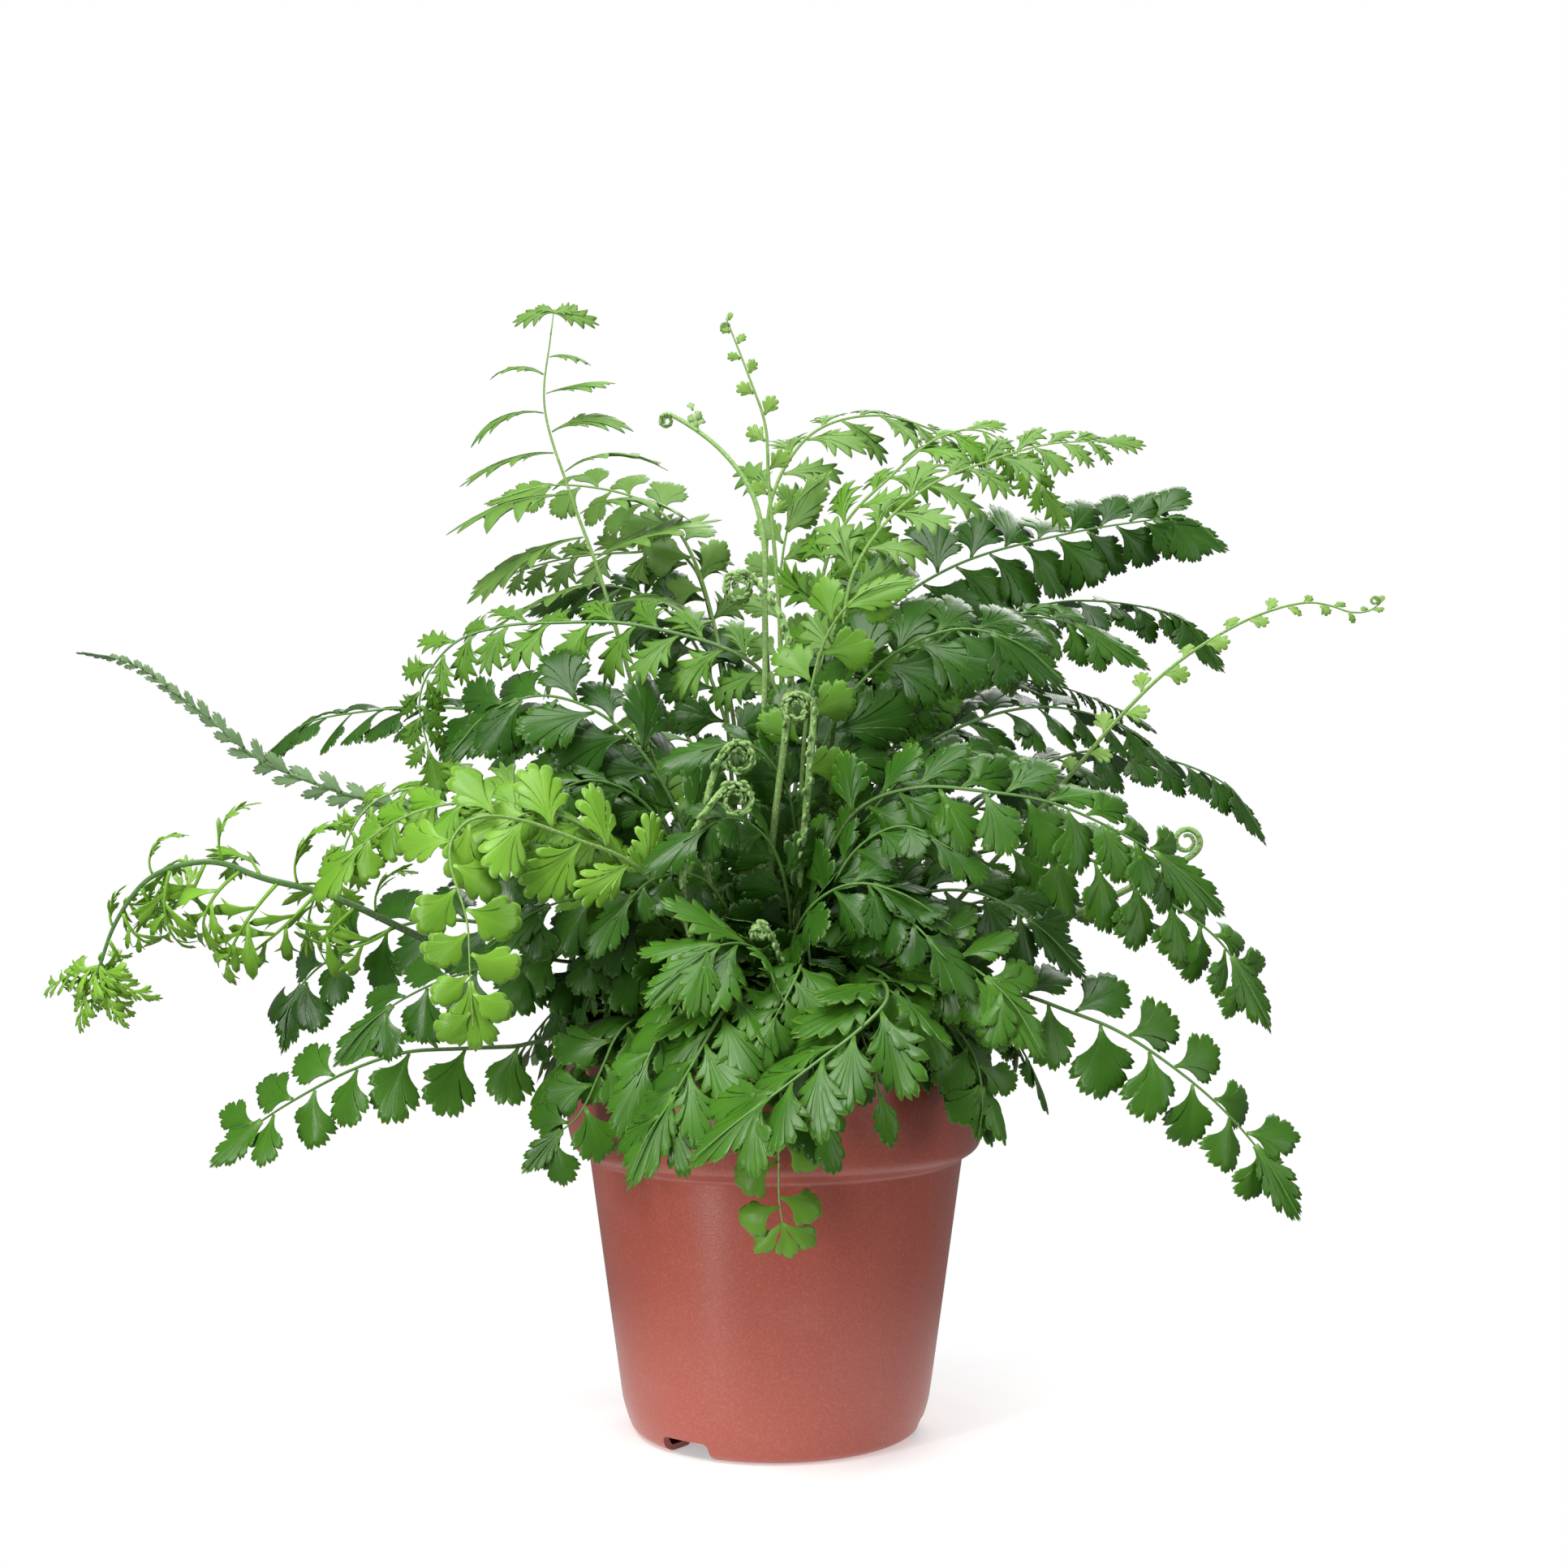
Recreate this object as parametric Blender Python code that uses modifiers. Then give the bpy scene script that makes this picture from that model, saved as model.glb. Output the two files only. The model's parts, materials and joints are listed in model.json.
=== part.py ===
"""A potted fern: a round tapered nursery pot, its root ball, the crown, and every frond and crozier as one piece each.

Millimetres in the tables, metres in the scene. The origin is the centre of the pot's underside, +Z is up.
Left and right are -X and +X, the front is -Y."""

import math

import bmesh
import bpy
from mathutils import Matrix, Vector
from mathutils.bvhtree import BVHTree
from mathutils.kdtree import KDTree

MM = 0.001

# ---------------------------------------------------------------- pot, soil and crown
POT_HEIGHT = 110.0
RIM_RADIUS = 60.5
WALL = 1.3
FOOT_RADIUS = 39.0
FOOT_HEIGHT = 3.6
NOTCH_WIDTH = 15.5
NOTCH_ANGLES = (-126.5, -6.5, 113.5)  # degrees from +X
DRAIN_RADIUS = 3.2
DRAIN_RING = 22.0
SOIL_TOP = 96.0
SOIL_GAP = 0.4
CROWN_RADIUS = 29.0
CROWN_HEIGHT = 12.0
POT_STEPS = 26

# radius and height down the outer side, from the rim to the foot
POT_OUTER = [
    (60.5, 110.0), (60.2, 99.0), (58.6, 87.5), (56.4, 82.5), (53.0, 79.0),
    (52.6, 76.0), (44.7, 18.0), (42.8, 7.0), (39.0, 0.0),
]

# ---------------------------------------------------------------- fronds
# name: (kind, points from the crown outwards, way the blade faces, pairs of pinnae, longest pinna,
#        bare share of the stalk, droop of the pinnae, roll of the pinnae)
FRONDS = {
    "frond_front_middle_long": ("lobed", [(16, -40, 126), (27, -62, 132), (28, -78, 128), (20, -87, 121), (11, -93, 115), (1, -98, 108), (-9, -101, 101), (-20, -103, 92)], (0.0, -0.85, 0.5), 8, 32, 0.34, 8, 0),
    "frond_right_show": ("lobed", [(10, -28, 150), (22, -45, 176), (37, -54, 182), (55, -60, 181), (72, -62, 178), (90, -62, 170), (106, -60, 160), (117, -58, 150)], (0.15, -0.85, 0.5), 9, 25, 0.38, 6, 0),
    "frond_lime_front_left": ("round", [(-22, -35, 140), (-37, -58, 162), (-52, -66, 169), (-66, -71, 174), (-77, -76, 174), (-82, -79, 167), (-80, -82, 158), (-77, -84, 149), (-76, -86, 137), (-75, -87, 122)], (0.0, -0.9, 0.45), 9, 18, 0.36, 6, 0),
    "frond_lower_right": ("fan", [(36, -26, 122), (52, -36, 128), (65, -43, 127), (77, -47, 123), (90, -50, 118), (104, -53, 109), (117, -56, 98), (128, -58, 85), (136, -60, 71)], (0.15, -0.9, 0.35), 9, 19, 0.36, 4, 0),
    "frond_lower_left": ("fan", [(-36, -24, 119), (-52, -34, 117), (-66, -38, 113), (-84, -40, 112), (-99, -40, 111), (-112, -40, 107), (-126, -40, 100), (-140, -40, 91), (-151, -40, 81)], (-0.1, -0.9, 0.4), 9, 16, 0.40, 4, 0),
    "frond_lime_curled_left": ("claw", [(-36, -20, 119), (-52, -26, 124), (-75, -30, 132), (-95, -34, 141), (-120, -38, 153), (-138, -41, 158), (-149, -42, 162), (-160, -43, 161), (-168, -44, 157), (-176, -44, 146), (-181, -44, 132)], (0.0, -0.75, 0.65), 10, 22, 0.48, 20, 0),
    "frond_hanging_front": ("round", [(3, -44, 119), (3, -60, 119), (2, -71, 108), (1, -73, 96), (1, -73, 86), (1, -73, 78), (2, -73, 70), (3, -73, 60)], (0.0, -1.0, 0.15), 4, 11, 0.56, 0, 0),
    "frond_fine_left": ("fine", [(-1, -14, 165), (2, -18, 200), (-5, -18, 215), (-15, -17, 221), (-28, -16, 225), (-44, -15, 228), (-60, -15, 228), (-76, -15, 227), (-90, -15, 222), (-99, -16, 208), (-96, -17, 190)], (0.0, -0.8, 0.6), 10, 23, 0.46, 10, 0),
    "frond_front_left_long": ("lobed", [(-6, -38, 124), (-9, -60, 130), (-14, -75, 124), (-20, -83, 114), (-26, -88, 104), (-32, -91, 95), (-36, -92, 85)], (-0.2, -0.9, 0.4), 7, 24, 0.36, 6, 0),
    "frond_erect_left": ("arch", [(-22, 14, 150), (-40, 19, 205), (-52, 20, 245), (-60, 20, 267), (-68, 20, 294), (-66, 20, 316)], (0.0, -1.0, 0.0), 7, 29, 0.56, -6, 58),
    "frond_pale_left": ("fan", [(-8, 20, 160), (-15, 30, 215), (-27, 36, 255), (-39, 42, 268), (-68, 54, 275), (-89, 62, 271)], (0.0, -0.75, 0.65), 6, 19, 0.60, 8, 0),
    "frond_upper_left_fine": ("fine", [(-12, 32, 165), (-18, 42, 225), (-28, 42, 252), (-45, 42, 253), (-64, 40, 251), (-81, 38, 246)], (0.0, -0.7, 0.7), 6, 19, 0.60, 10, 0),
    "frond_young_erect": ("young", [(3, -4, 170), (1, -9, 230), (-2, -10, 268), (-3, -10, 284), (-7, -10, 296), (-14, -10, 314)], (0.0, -1.0, 0.1), 5, 7, 0.72, -10, 20),
    "frond_top_middle": ("fine", [(0, 16, 170), (-3, 20, 235), (-1, 22, 268), (11, 26, 287), (30, 32, 293), (48, 38, 289), (63, 43, 280)], (0.0, -0.6, 0.8), 7, 17, 0.64, 8, 0),
    "frond_top_right": ("fine", [(9, 1, 165), (12, 0, 215), (14, 0, 245), (21, 0, 259), (32, 0, 270), (45, 0, 281), (57, 0, 284), (68, 0, 278), (77, 0, 266)], (-0.2, -0.65, 0.75), 9, 19, 0.50, 8, 0),
    "frond_top_right_long": ("fine", [(13, -12, 165), (18, -18, 215), (21, -20, 240), (31, -20, 256), (45, -20, 267), (58, -20, 272), (75, -20, 277), (92, -20, 278)], (-0.2, -0.75, 0.65), 9, 17, 0.48, 8, 0),
    "frond_broad_right": ("broad", [(11, 28, 165), (14, 40, 203), (24, 48, 224), (38, 56, 240), (58, 62, 252), (85, 66, 260), (112, 68, 265), (130, 68, 266), (139, 68, 258)], (-0.1, -0.75, 0.65), 9, 29, 0.42, 14, 0),
    "frond_back_right_high": ("lobed", [(25, 50, 165), (45, 78, 210), (68, 92, 234), (90, 98, 242), (112, 99, 242), (133, 97, 236), (144, 95, 222)], (0.0, -0.5, 0.86), 8, 24, 0.45, 12, 0),
    "frond_right_lit": ("lobed", [(22, 14, 160), (35, 24, 205), (53, 30, 229), (76, 32, 233), (93, 32, 229), (110, 30, 219)], (0.0, -0.6, 0.8), 7, 22, 0.44, 10, 0),
    "frond_back_right_thin": ("narrow", [(28, 62, 155), (48, 92, 198), (76, 112, 217), (96, 117, 215), (116, 117, 207)], (0.0, -0.4, 0.9), 6, 20, 0.48, 14, 0),
    "frond_young_right_long": ("young", [(38, -6, 135), (62, -9, 162), (84, -10, 187), (95, -10, 200), (109, -10, 214), (123, -10, 224), (137, -10, 231), (151, -10, 234), (165, -10, 231), (171, -10, 235)], (-0.1, -0.75, 0.65), 8, 9, 0.46, 0, 0),
    "frond_back_right_wavy": ("lobed", [(40, 44, 150), (68, 68, 180), (96, 78, 193), (118, 80, 192), (133, 80, 188), (145, 79, 181), (155, 78, 166)], (0.0, -0.35, 0.93), 8, 20, 0.44, 16, 0),
    "frond_right_drooping": ("lobed", [(30, -18, 145), (50, -26, 162), (72, -30, 166), (89, -31, 161), (105, -31, 152), (121, -31, 140), (135, -30, 117)], (0.2, -0.75, 0.6), 8, 20, 0.42, 8, 0),
    "frond_rim_right": ("fan", [(32, -32, 119), (44, -46, 121), (52, -56, 112), (54, -59, 101), (53, -60, 91)], (0.45, -0.85, 0.15), 4, 12, 0.48, 4, 0),
    "frond_rim_left": ("fan", [(-28, -36, 120), (-40, -52, 119), (-46, -59, 107), (-51, -62, 97), (-58, -63, 91), (-65, -62, 83)], (-0.2, -0.95, 0.2), 4, 13, 0.48, 4, 0),
    "frond_left_dark_drooping": ("fan", [(-45, -14, 130), (-74, -18, 143), (-98, -19, 145), (-115, -19, 139), (-128, -19, 131), (-135, -19, 121), (-137, -19, 110)], (-0.2, -0.8, 0.55), 7, 17, 0.44, 8, 0),
    "frond_lime_left_fine": ("fine", [(-38, -8, 145), (-70, -9, 173), (-97, -9, 182), (-113, -9, 178), (-121, -9, 166), (-123, -9, 150)], (0.0, -0.8, 0.6), 7, 20, 0.44, 10, 0),
    "frond_back_left_rising": ("edge", [(-48, 16, 140), (-85, 24, 164), (-115, 28, 176), (-137, 30, 183), (-155, 30, 191), (-168, 30, 202), (-180, 30, 211), (-190, 30, 218), (-199, 30, 221)], (0.25, 0.25, 0.94), 10, 12, 0.48, 12, 0),
    "frond_left_long": ("lobed", [(-24, 8, 150), (-38, 14, 182), (-51, 19, 190), (-66, 24, 197), (-83, 30, 204), (-102, 37, 206), (-125, 44, 205), (-145, 50, 201), (-159, 54, 190)], (0.0, -0.5, 0.86), 9, 20, 0.38, 10, 0),
    "frond_front_left_low": ("fan", [(-16, -32, 128), (-28, -44, 138), (-42, -48, 141), (-56, -48, 139), (-70, -46, 134)], (0.0, -0.85, 0.5), 6, 15, 0.34, 6, 0),
    "frond_pale_middle": ("fan", [(4, 10, 170), (1, 12, 225), (2, 12, 250), (6, 9, 264), (14, 5, 271)], (0.0, -0.95, 0.3), 5, 18, 0.60, 4, 0),
    "frond_broad_middle_right": ("broad", [(8, -18, 160), (12, -27, 190), (21, -31, 208), (35, -33, 220), (50, -34, 225), (66, -34, 221), (78, -33, 211)], (0.0, -0.8, 0.6), 6, 29, 0.44, 10, 0),
    "frond_right_middle": ("lobed", [(20, 8, 155), (34, 16, 186), (57, 24, 201), (82, 32, 206), (107, 40, 199), (121, 45, 187)], (0.0, -0.5, 0.86), 7, 22, 0.42, 10, 0),
    "frond_front_right_short": ("fan", [(22, -30, 138), (37, -42, 153), (54, -47, 154), (70, -48, 145), (82, -47, 133)], (0.2, -0.7, 0.7), 6, 19, 0.36, 8, 0),
    "frond_front_left_short": ("lobed", [(0, -38, 127), (-4, -56, 139), (-12, -68, 142), (-22, -76, 138), (-31, -82, 129)], (-0.1, -0.75, 0.65), 5, 24, 0.36, 8, 0),
    "frond_front_right_low": ("lobed", [(20, -36, 127), (34, -52, 137), (48, -62, 137), (60, -68, 128), (68, -72, 115)], (0.2, -0.75, 0.65), 6, 25, 0.34, 8, 0),
    "frond_left_dark": ("fan", [(-32, -28, 127), (-53, -40, 135), (-74, -50, 135), (-91, -57, 130), (-104, -62, 122), (-113, -65, 112)], (-0.2, -0.75, 0.6), 7, 18, 0.38, 8, 0),
    "frond_left_middle": ("fan", [(-20, -34, 133), (-34, -48, 148), (-50, -54, 153), (-64, -56, 149), (-75, -56, 140)], (0.0, -0.8, 0.6), 5, 18, 0.36, 8, 0),
    "frond_broad_left": ("broad", [(-18, -20, 150), (-32, -28, 185), (-46, -31, 201), (-63, -33, 207), (-78, -34, 202), (-88, -34, 191)], (0.0, -0.75, 0.65), 6, 26, 0.40, 10, 0),
    "frond_upper_left": ("lobed", [(-8, 12, 165), (-16, 22, 205), (-28, 28, 230), (-43, 34, 241), (-60, 40, 242), (-75, 46, 236)], (0.0, -0.6, 0.8), 6, 23, 0.46, 10, 0),
    "frond_pale_right": ("fan", [(6, -24, 165), (9, -36, 205), (15, -42, 225), (25, -45, 235), (36, -46, 237)], (0.0, -0.9, 0.4), 4, 17, 0.54, 6, 0),
    "frond_front_middle_dark": ("lobed", [(4, -34, 136), (10, -48, 151), (21, -56, 157), (34, -60, 154), (46, -62, 146)], (0.0, -0.8, 0.6), 5, 22, 0.36, 8, 0),
}

# fronds behind the crown, which arch out and over by rule: azimuth, reach and height of the top of the arch
BACK_FRONDS = [
    (14, 122, 150), (36, 92, 198), (58, 130, 166), (80, 96, 226),
    (100, 134, 156), (122, 94, 206), (144, 128, 168), (167, 108, 184),
]

# name: (points from the crown outwards, radius of the coiled head, turns, way it coils)
CROZIERS = {
    "crozier_top_left": ([(-2, -14, 170), (-3, -20, 225), (-4, -21, 256), (-8, -21, 266), (-18, -21, 278), (-29, -21, 285)], 3.2, 1.25, 1),
    "crozier_middle_tall": ([(-2, -26, 140), (-1, -32, 165), (1, -33, 183), (3, -33, 200), (4, -32, 221), (0, -31, 231), (-6, -30, 239)], 4.6, 1.15, 1),
    "crozier_middle_right": ([(6, -30, 150), (9, -40, 185), (10, -42, 203)], 4.4, 1.15, 1),
    "crozier_middle_upper": ([(-14, -34, 140), (-19, -44, 165), (-18, -47, 180), (-14, -48, 191)], 4.6, 1.2, -1),
    "crozier_middle_lower": ([(-18, -42, 130), (-24, -50, 149), (-24, -53, 163), (-20, -56, 172), (-14, -57, 181)], 4.6, 1.2, -1),
    "crozier_small_front": ([(2, -38, 124), (1, -54, 138), (-2, -57, 145)], 2.8, 1.15, 1),
    "crozier_right": ([(38, -2, 130), (64, 0, 141), (77, 0, 143), (92, 0, 149), (108, 0, 157), (119, 0, 163)], 4.4, 1.25, 1),
}

# outer width of a pinna as a share of its length
PINNA_WIDTH = {"lobed": 0.42, "broad": 0.5, "fan": 0.72, "round": 0.72, "fine": 0.46, "arch": 0.26, "narrow": 0.3, "edge": 0.5, "claw": 0.4, "young": 0.6}
STALK_WIDTH = 2.1
STALK_THICK = 1.8
PINNA_THICK = 0.5
CLEARANCE = 0.28


# ---------------------------------------------------------------- curves
def smooth_path(points, step=2.0):
    """Points every `step` along a centripetal Catmull-Rom curve through the given points."""
    pts = [Vector(p) for p in points]
    pts = [pts[0] * 2 - pts[1]] + pts + [pts[-1] * 2 - pts[-2]]
    fine = []
    for a, b, c, d in zip(pts, pts[1:], pts[2:], pts[3:]):
        t0 = 0.0
        t1 = t0 + max((b - a).length, 1e-6) ** 0.5
        t2 = t1 + max((c - b).length, 1e-6) ** 0.5
        t3 = t2 + max((d - c).length, 1e-6) ** 0.5
        for k in range(16):
            t = t1 + (t2 - t1) * k / 16
            a1 = a * ((t1 - t) / (t1 - t0)) + b * ((t - t0) / (t1 - t0))
            a2 = b * ((t2 - t) / (t2 - t1)) + c * ((t - t1) / (t2 - t1))
            a3 = c * ((t3 - t) / (t3 - t2)) + d * ((t - t2) / (t3 - t2))
            b1 = a1 * ((t2 - t) / (t2 - t0)) + a2 * ((t - t0) / (t2 - t0))
            b2 = a2 * ((t3 - t) / (t3 - t1)) + a3 * ((t - t1) / (t3 - t1))
            fine.append(b1 * ((t2 - t) / (t2 - t1)) + b2 * ((t - t1) / (t2 - t1)))
    fine.append(pts[-2].copy())
    return fine


def along(path, distances):
    """Points on a polyline at these distances from its start."""
    lengths = [0.0]
    for a, b in zip(path, path[1:]):
        lengths.append(lengths[-1] + (b - a).length)
    out, k = [], 0
    for s in distances:
        s = min(max(s, 0.0), lengths[-1])
        while k < len(path) - 2 and lengths[k + 1] < s:
            k += 1
        f = (s - lengths[k]) / max(lengths[k + 1] - lengths[k], 1e-9)
        out.append(path[k].lerp(path[k + 1], min(max(f, 0.0), 1.0)))
    return out


def path_length(path):
    return sum((b - a).length for a, b in zip(path, path[1:]))


def crown_height(r):
    """The dome of the crown above the soil, at this distance from the axis."""
    if r >= CROWN_RADIUS:
        return SOIL_TOP
    return SOIL_TOP + SOIL_GAP + CROWN_HEIGHT * math.sqrt(1 - (r / CROWN_RADIUS) ** 2)


def pot_outer(z):
    """Outer radius of the pot at a height."""
    for (r1, z1), (r0, z0) in zip(POT_OUTER, POT_OUTER[1:]):
        if z0 <= z <= z1:
            return r0 + (r1 - r0) * (z - z0) / max(z1 - z0, 1e-9)
    return 0.0


def in_pot(p, margin=1.2):
    """Whether a point is in the pot's wall, in the soil or in the crown, or within the margin of them."""
    r = math.hypot(p.x, p.y)
    if p.z > POT_HEIGHT + margin:
        return p.z < crown_height(r) + margin and r < CROWN_RADIUS
    if r > pot_outer(min(max(p.z, 0.0), POT_HEIGHT)) + margin:
        return False
    return not (r < RIM_RADIUS - 4.5 - margin and p.z > crown_height(r) + margin)


def crown_seats(directions):
    """A seat on the crown for each stalk: low stalks leave its edge, steep ones its top, and all stand apart."""
    seats = []
    for d in directions:
        steep = math.atan2(d.z, math.hypot(d.x, d.y))
        r = 3.0 + 22.0 * (1 - steep / (math.pi / 2)) ** 0.8
        a = math.atan2(d.y, d.x)
        seats.append([r * math.cos(a), r * math.sin(a)])
    for _ in range(400):
        moved = False
        for i in range(len(seats)):
            for j in range(i + 1, len(seats)):
                dx, dy = seats[j][0] - seats[i][0], seats[j][1] - seats[i][1]
                gap = math.hypot(dx, dy)
                if gap < 5.6:
                    if gap < 1e-6:
                        dx, dy, gap = 1.0, 0.3 * (j - i), 1.0
                    push = (5.6 - gap) / 2 / gap * 0.6
                    seats[i][0] -= dx * push
                    seats[i][1] -= dy * push
                    seats[j][0] += dx * push
                    seats[j][1] += dy * push
                    moved = True
        for s in seats:
            r = math.hypot(*s)
            if r > 26.0:
                s[0] *= 26.0 / r
                s[1] *= 26.0 / r
        if not moved:
            break
    out = []
    for x, y in seats:
        z = crown_height(math.hypot(x, y))
        up = Vector((x / CROWN_RADIUS**2, y / CROWN_RADIUS**2, (z - SOIL_TOP - SOIL_GAP) / CROWN_HEIGHT**2)).normalized()
        out.append(Vector((x, y, z)) + up * 1.5)
    return out


def back_frond(azimuth, reach, top):
    a = math.radians(azimuth)
    out = Vector((math.cos(a), math.sin(a), 0.0))
    turn = Vector((-out.y, out.x, 0.0)) * (6.0 if azimuth % 4 else -6.0)
    steps = [(0.16, 0.5, 0.2), (0.38, 0.84, 0.7), (0.6, 1.0, 1.0), (0.8, 0.95, 0.8), (1.0, 0.74, 0.1)]
    return [out * (reach * f) + Vector((0, 0, 108 + (top - 108) * h)) + turn * s for f, h, s in steps]


def plan():
    """Every stalk before it is moved clear of the others: name, kind, stations, and what its blade needs."""
    rows = []
    for name, (kind, points, face, pairs, longest, bare, droop, roll) in FRONDS.items():
        rows.append(dict(name=name, kind=kind, points=points, face=Vector(face).normalized(), pairs=pairs, longest=longest, bare=bare, droop=droop, roll=roll))
    for k, (azimuth, reach, top) in enumerate(BACK_FRONDS):
        a = math.radians(azimuth)
        face = Vector((0.25 * math.cos(a), 0.25 * math.sin(a), 1.0)).normalized()
        rows.append(dict(name=f"frond_back_{k + 1}", kind=("lobed", "fan")[k % 2], points=[tuple(p) for p in back_frond(azimuth, reach, top)], face=face, pairs=8, longest=26, bare=0.36, droop=12, roll=0))
    for name, (points, head, turns, way) in CROZIERS.items():
        rows.append(dict(name=name, kind="crozier", points=points, head=head, turns=turns, way=way))
    seats = crown_seats([Vector(r["points"][0]) - Vector((0, 0, 100)) for r in rows])
    for row, seat in zip(rows, seats):
        path = smooth_path([seat] + row["points"])
        whole = path_length(path)
        row["stations"] = along(path, station_distances(row, whole))
    return rows


def station_distances(row, whole):
    if row["kind"] == "crozier":
        n = max(6, round(whole / 15))
        return [whole * k / n for k in range(n + 1)]
    bare = whole * row["bare"]
    n_bare = max(4, round(bare / 19))
    out = [bare * k / n_bare for k in range(n_bare)]
    n = 2 * row["pairs"] + 1
    for k in range(n + 1):
        t = k / n
        out.append(bare + (whole - bare) * t * (1.22 - 0.22 * t))
    return out


def part_stalks(rows, rounds=120):
    """Moves stations until no two stalks are closer than their width and a gap."""
    near = math.hypot(STALK_WIDTH, STALK_THICK) + 0.6
    for step in range(rounds):
        samples = []
        for i, row in enumerate(rows):
            st = row["stations"]
            for k, (a, b) in enumerate(zip(st, st[1:])):
                n = max(1, round((b - a).length / 2.4))
                for m in range(n):
                    samples.append((i, k, m / n, a.lerp(b, m / n)))
            samples.append((i, len(st) - 2, 1.0, st[-1]))
        tree = KDTree(len(samples))
        for s, (_, _, _, p) in enumerate(samples):
            tree.insert(p, s)
        tree.balance()
        moves = [[Vector() for _ in row["stations"]] for row in rows]
        weights = [[1e-9 for _ in row["stations"]] for row in rows]
        clashes = 0
        for s, (i, k, f, p) in enumerate(samples):
            for q, t, gap in tree.find_range(p, near):
                j = samples[t][0]
                if j == i:
                    continue
                clashes += 1
                away = p - q
                if gap < 1e-4:
                    away = Vector((0.3, 1.0 if i < j else -1.0, 0.2))
                push = away.normalized() * ((near - gap) * 0.6 + 0.05)
                for kk, w in ((k, 1 - f), (k + 1, f)):
                    moves[i][kk] += push * w
                    weights[i][kk] += w
        if not clashes:
            break
        for i, row in enumerate(rows):
            st = row["stations"]
            shift = [m / max(w, 1.0) for m, w in zip(moves[i], weights[i])]
            shift[0] = Vector()
            for k in range(1, len(st)):
                before = shift[k - 1]
                after = shift[k + 1] if k + 1 < len(st) else shift[k]
                st[k] = st[k] + shift[k] + (before + after) * 0.1
    return step


def frames(stations, face):
    """Tangent, upper normal and left side at each station."""
    out = []
    last = len(stations) - 1
    for k in range(last + 1):
        t = (stations[min(k + 1, last)] - stations[max(k - 1, 0)]).normalized()
        n = face - t * face.dot(t)
        if n.length < 0.15:
            n = out[-1][1] - t * out[-1][1].dot(t) if out else t.orthogonal()
        n.normalize()
        if out:
            n = (n * 0.6 + out[-1][1] * 0.4)
            n = (n - t * n.dot(t)).normalized()
        out.append((t, n, n.cross(t)))
    return out


def prism(corners, normal, half_in, half_out, grow):
    """A thick plate around four corners, the first two at the base."""
    centre = sum(corners, Vector()) / 4
    verts = []
    for side in (1, -1):
        for k, c in enumerate(corners):
            out = (c - centre).normalized() * grow
            verts.append(c + out + normal * side * ((half_in if k < 2 else half_out) + grow))
    polys = [(0, 1, 2, 3), (7, 6, 5, 4), (0, 4, 5, 1), (1, 5, 6, 2), (2, 6, 7, 3), (3, 7, 4, 0)]
    return verts, polys


class Room:
    """What is taken already, as small trees of plates with their boxes. Some count only for the frond they belong to, the rest only for its neighbours."""

    def __init__(self):
        self.items = []

    def add(self, owner, verts, polys, own=False):
        lo = [min(v[i] for v in verts) for i in range(3)]
        hi = [max(v[i] for v in verts) for i in range(3)]
        self.items.append((owner, own, lo, hi, BVHTree.FromPolygons(verts, polys)))

    def free(self, owner, verts, polys):
        lo = [min(v[i] for v in verts) for i in range(3)]
        hi = [max(v[i] for v in verts) for i in range(3)]
        tree = None
        for other, own, olo, ohi, otree in self.items:
            if (other == owner) != own:
                continue
            if lo[0] > ohi[0] or lo[1] > ohi[1] or lo[2] > ohi[2] or hi[0] < olo[0] or hi[1] < olo[1] or hi[2] < olo[2]:
                continue
            tree = tree or BVHTree.FromPolygons(verts, polys)
            if tree.overlap(otree):
                return False
        return True


def stalk_size(t):
    """Width and thickness along a stalk, from its seat (0) to its tip (1)."""
    f = 1.0 - 0.52 * t
    return STALK_WIDTH * f, STALK_THICK * f


def pinna_profile(t):
    """Length of a pinna as a share of the longest, from the blade's base (0) to its tip (1)."""
    return min(1.0, 0.8 + 0.9 * t) * (1.0 - 0.66 * max(0.0, (t - 0.3) / 0.7) ** 1.25)


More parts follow.
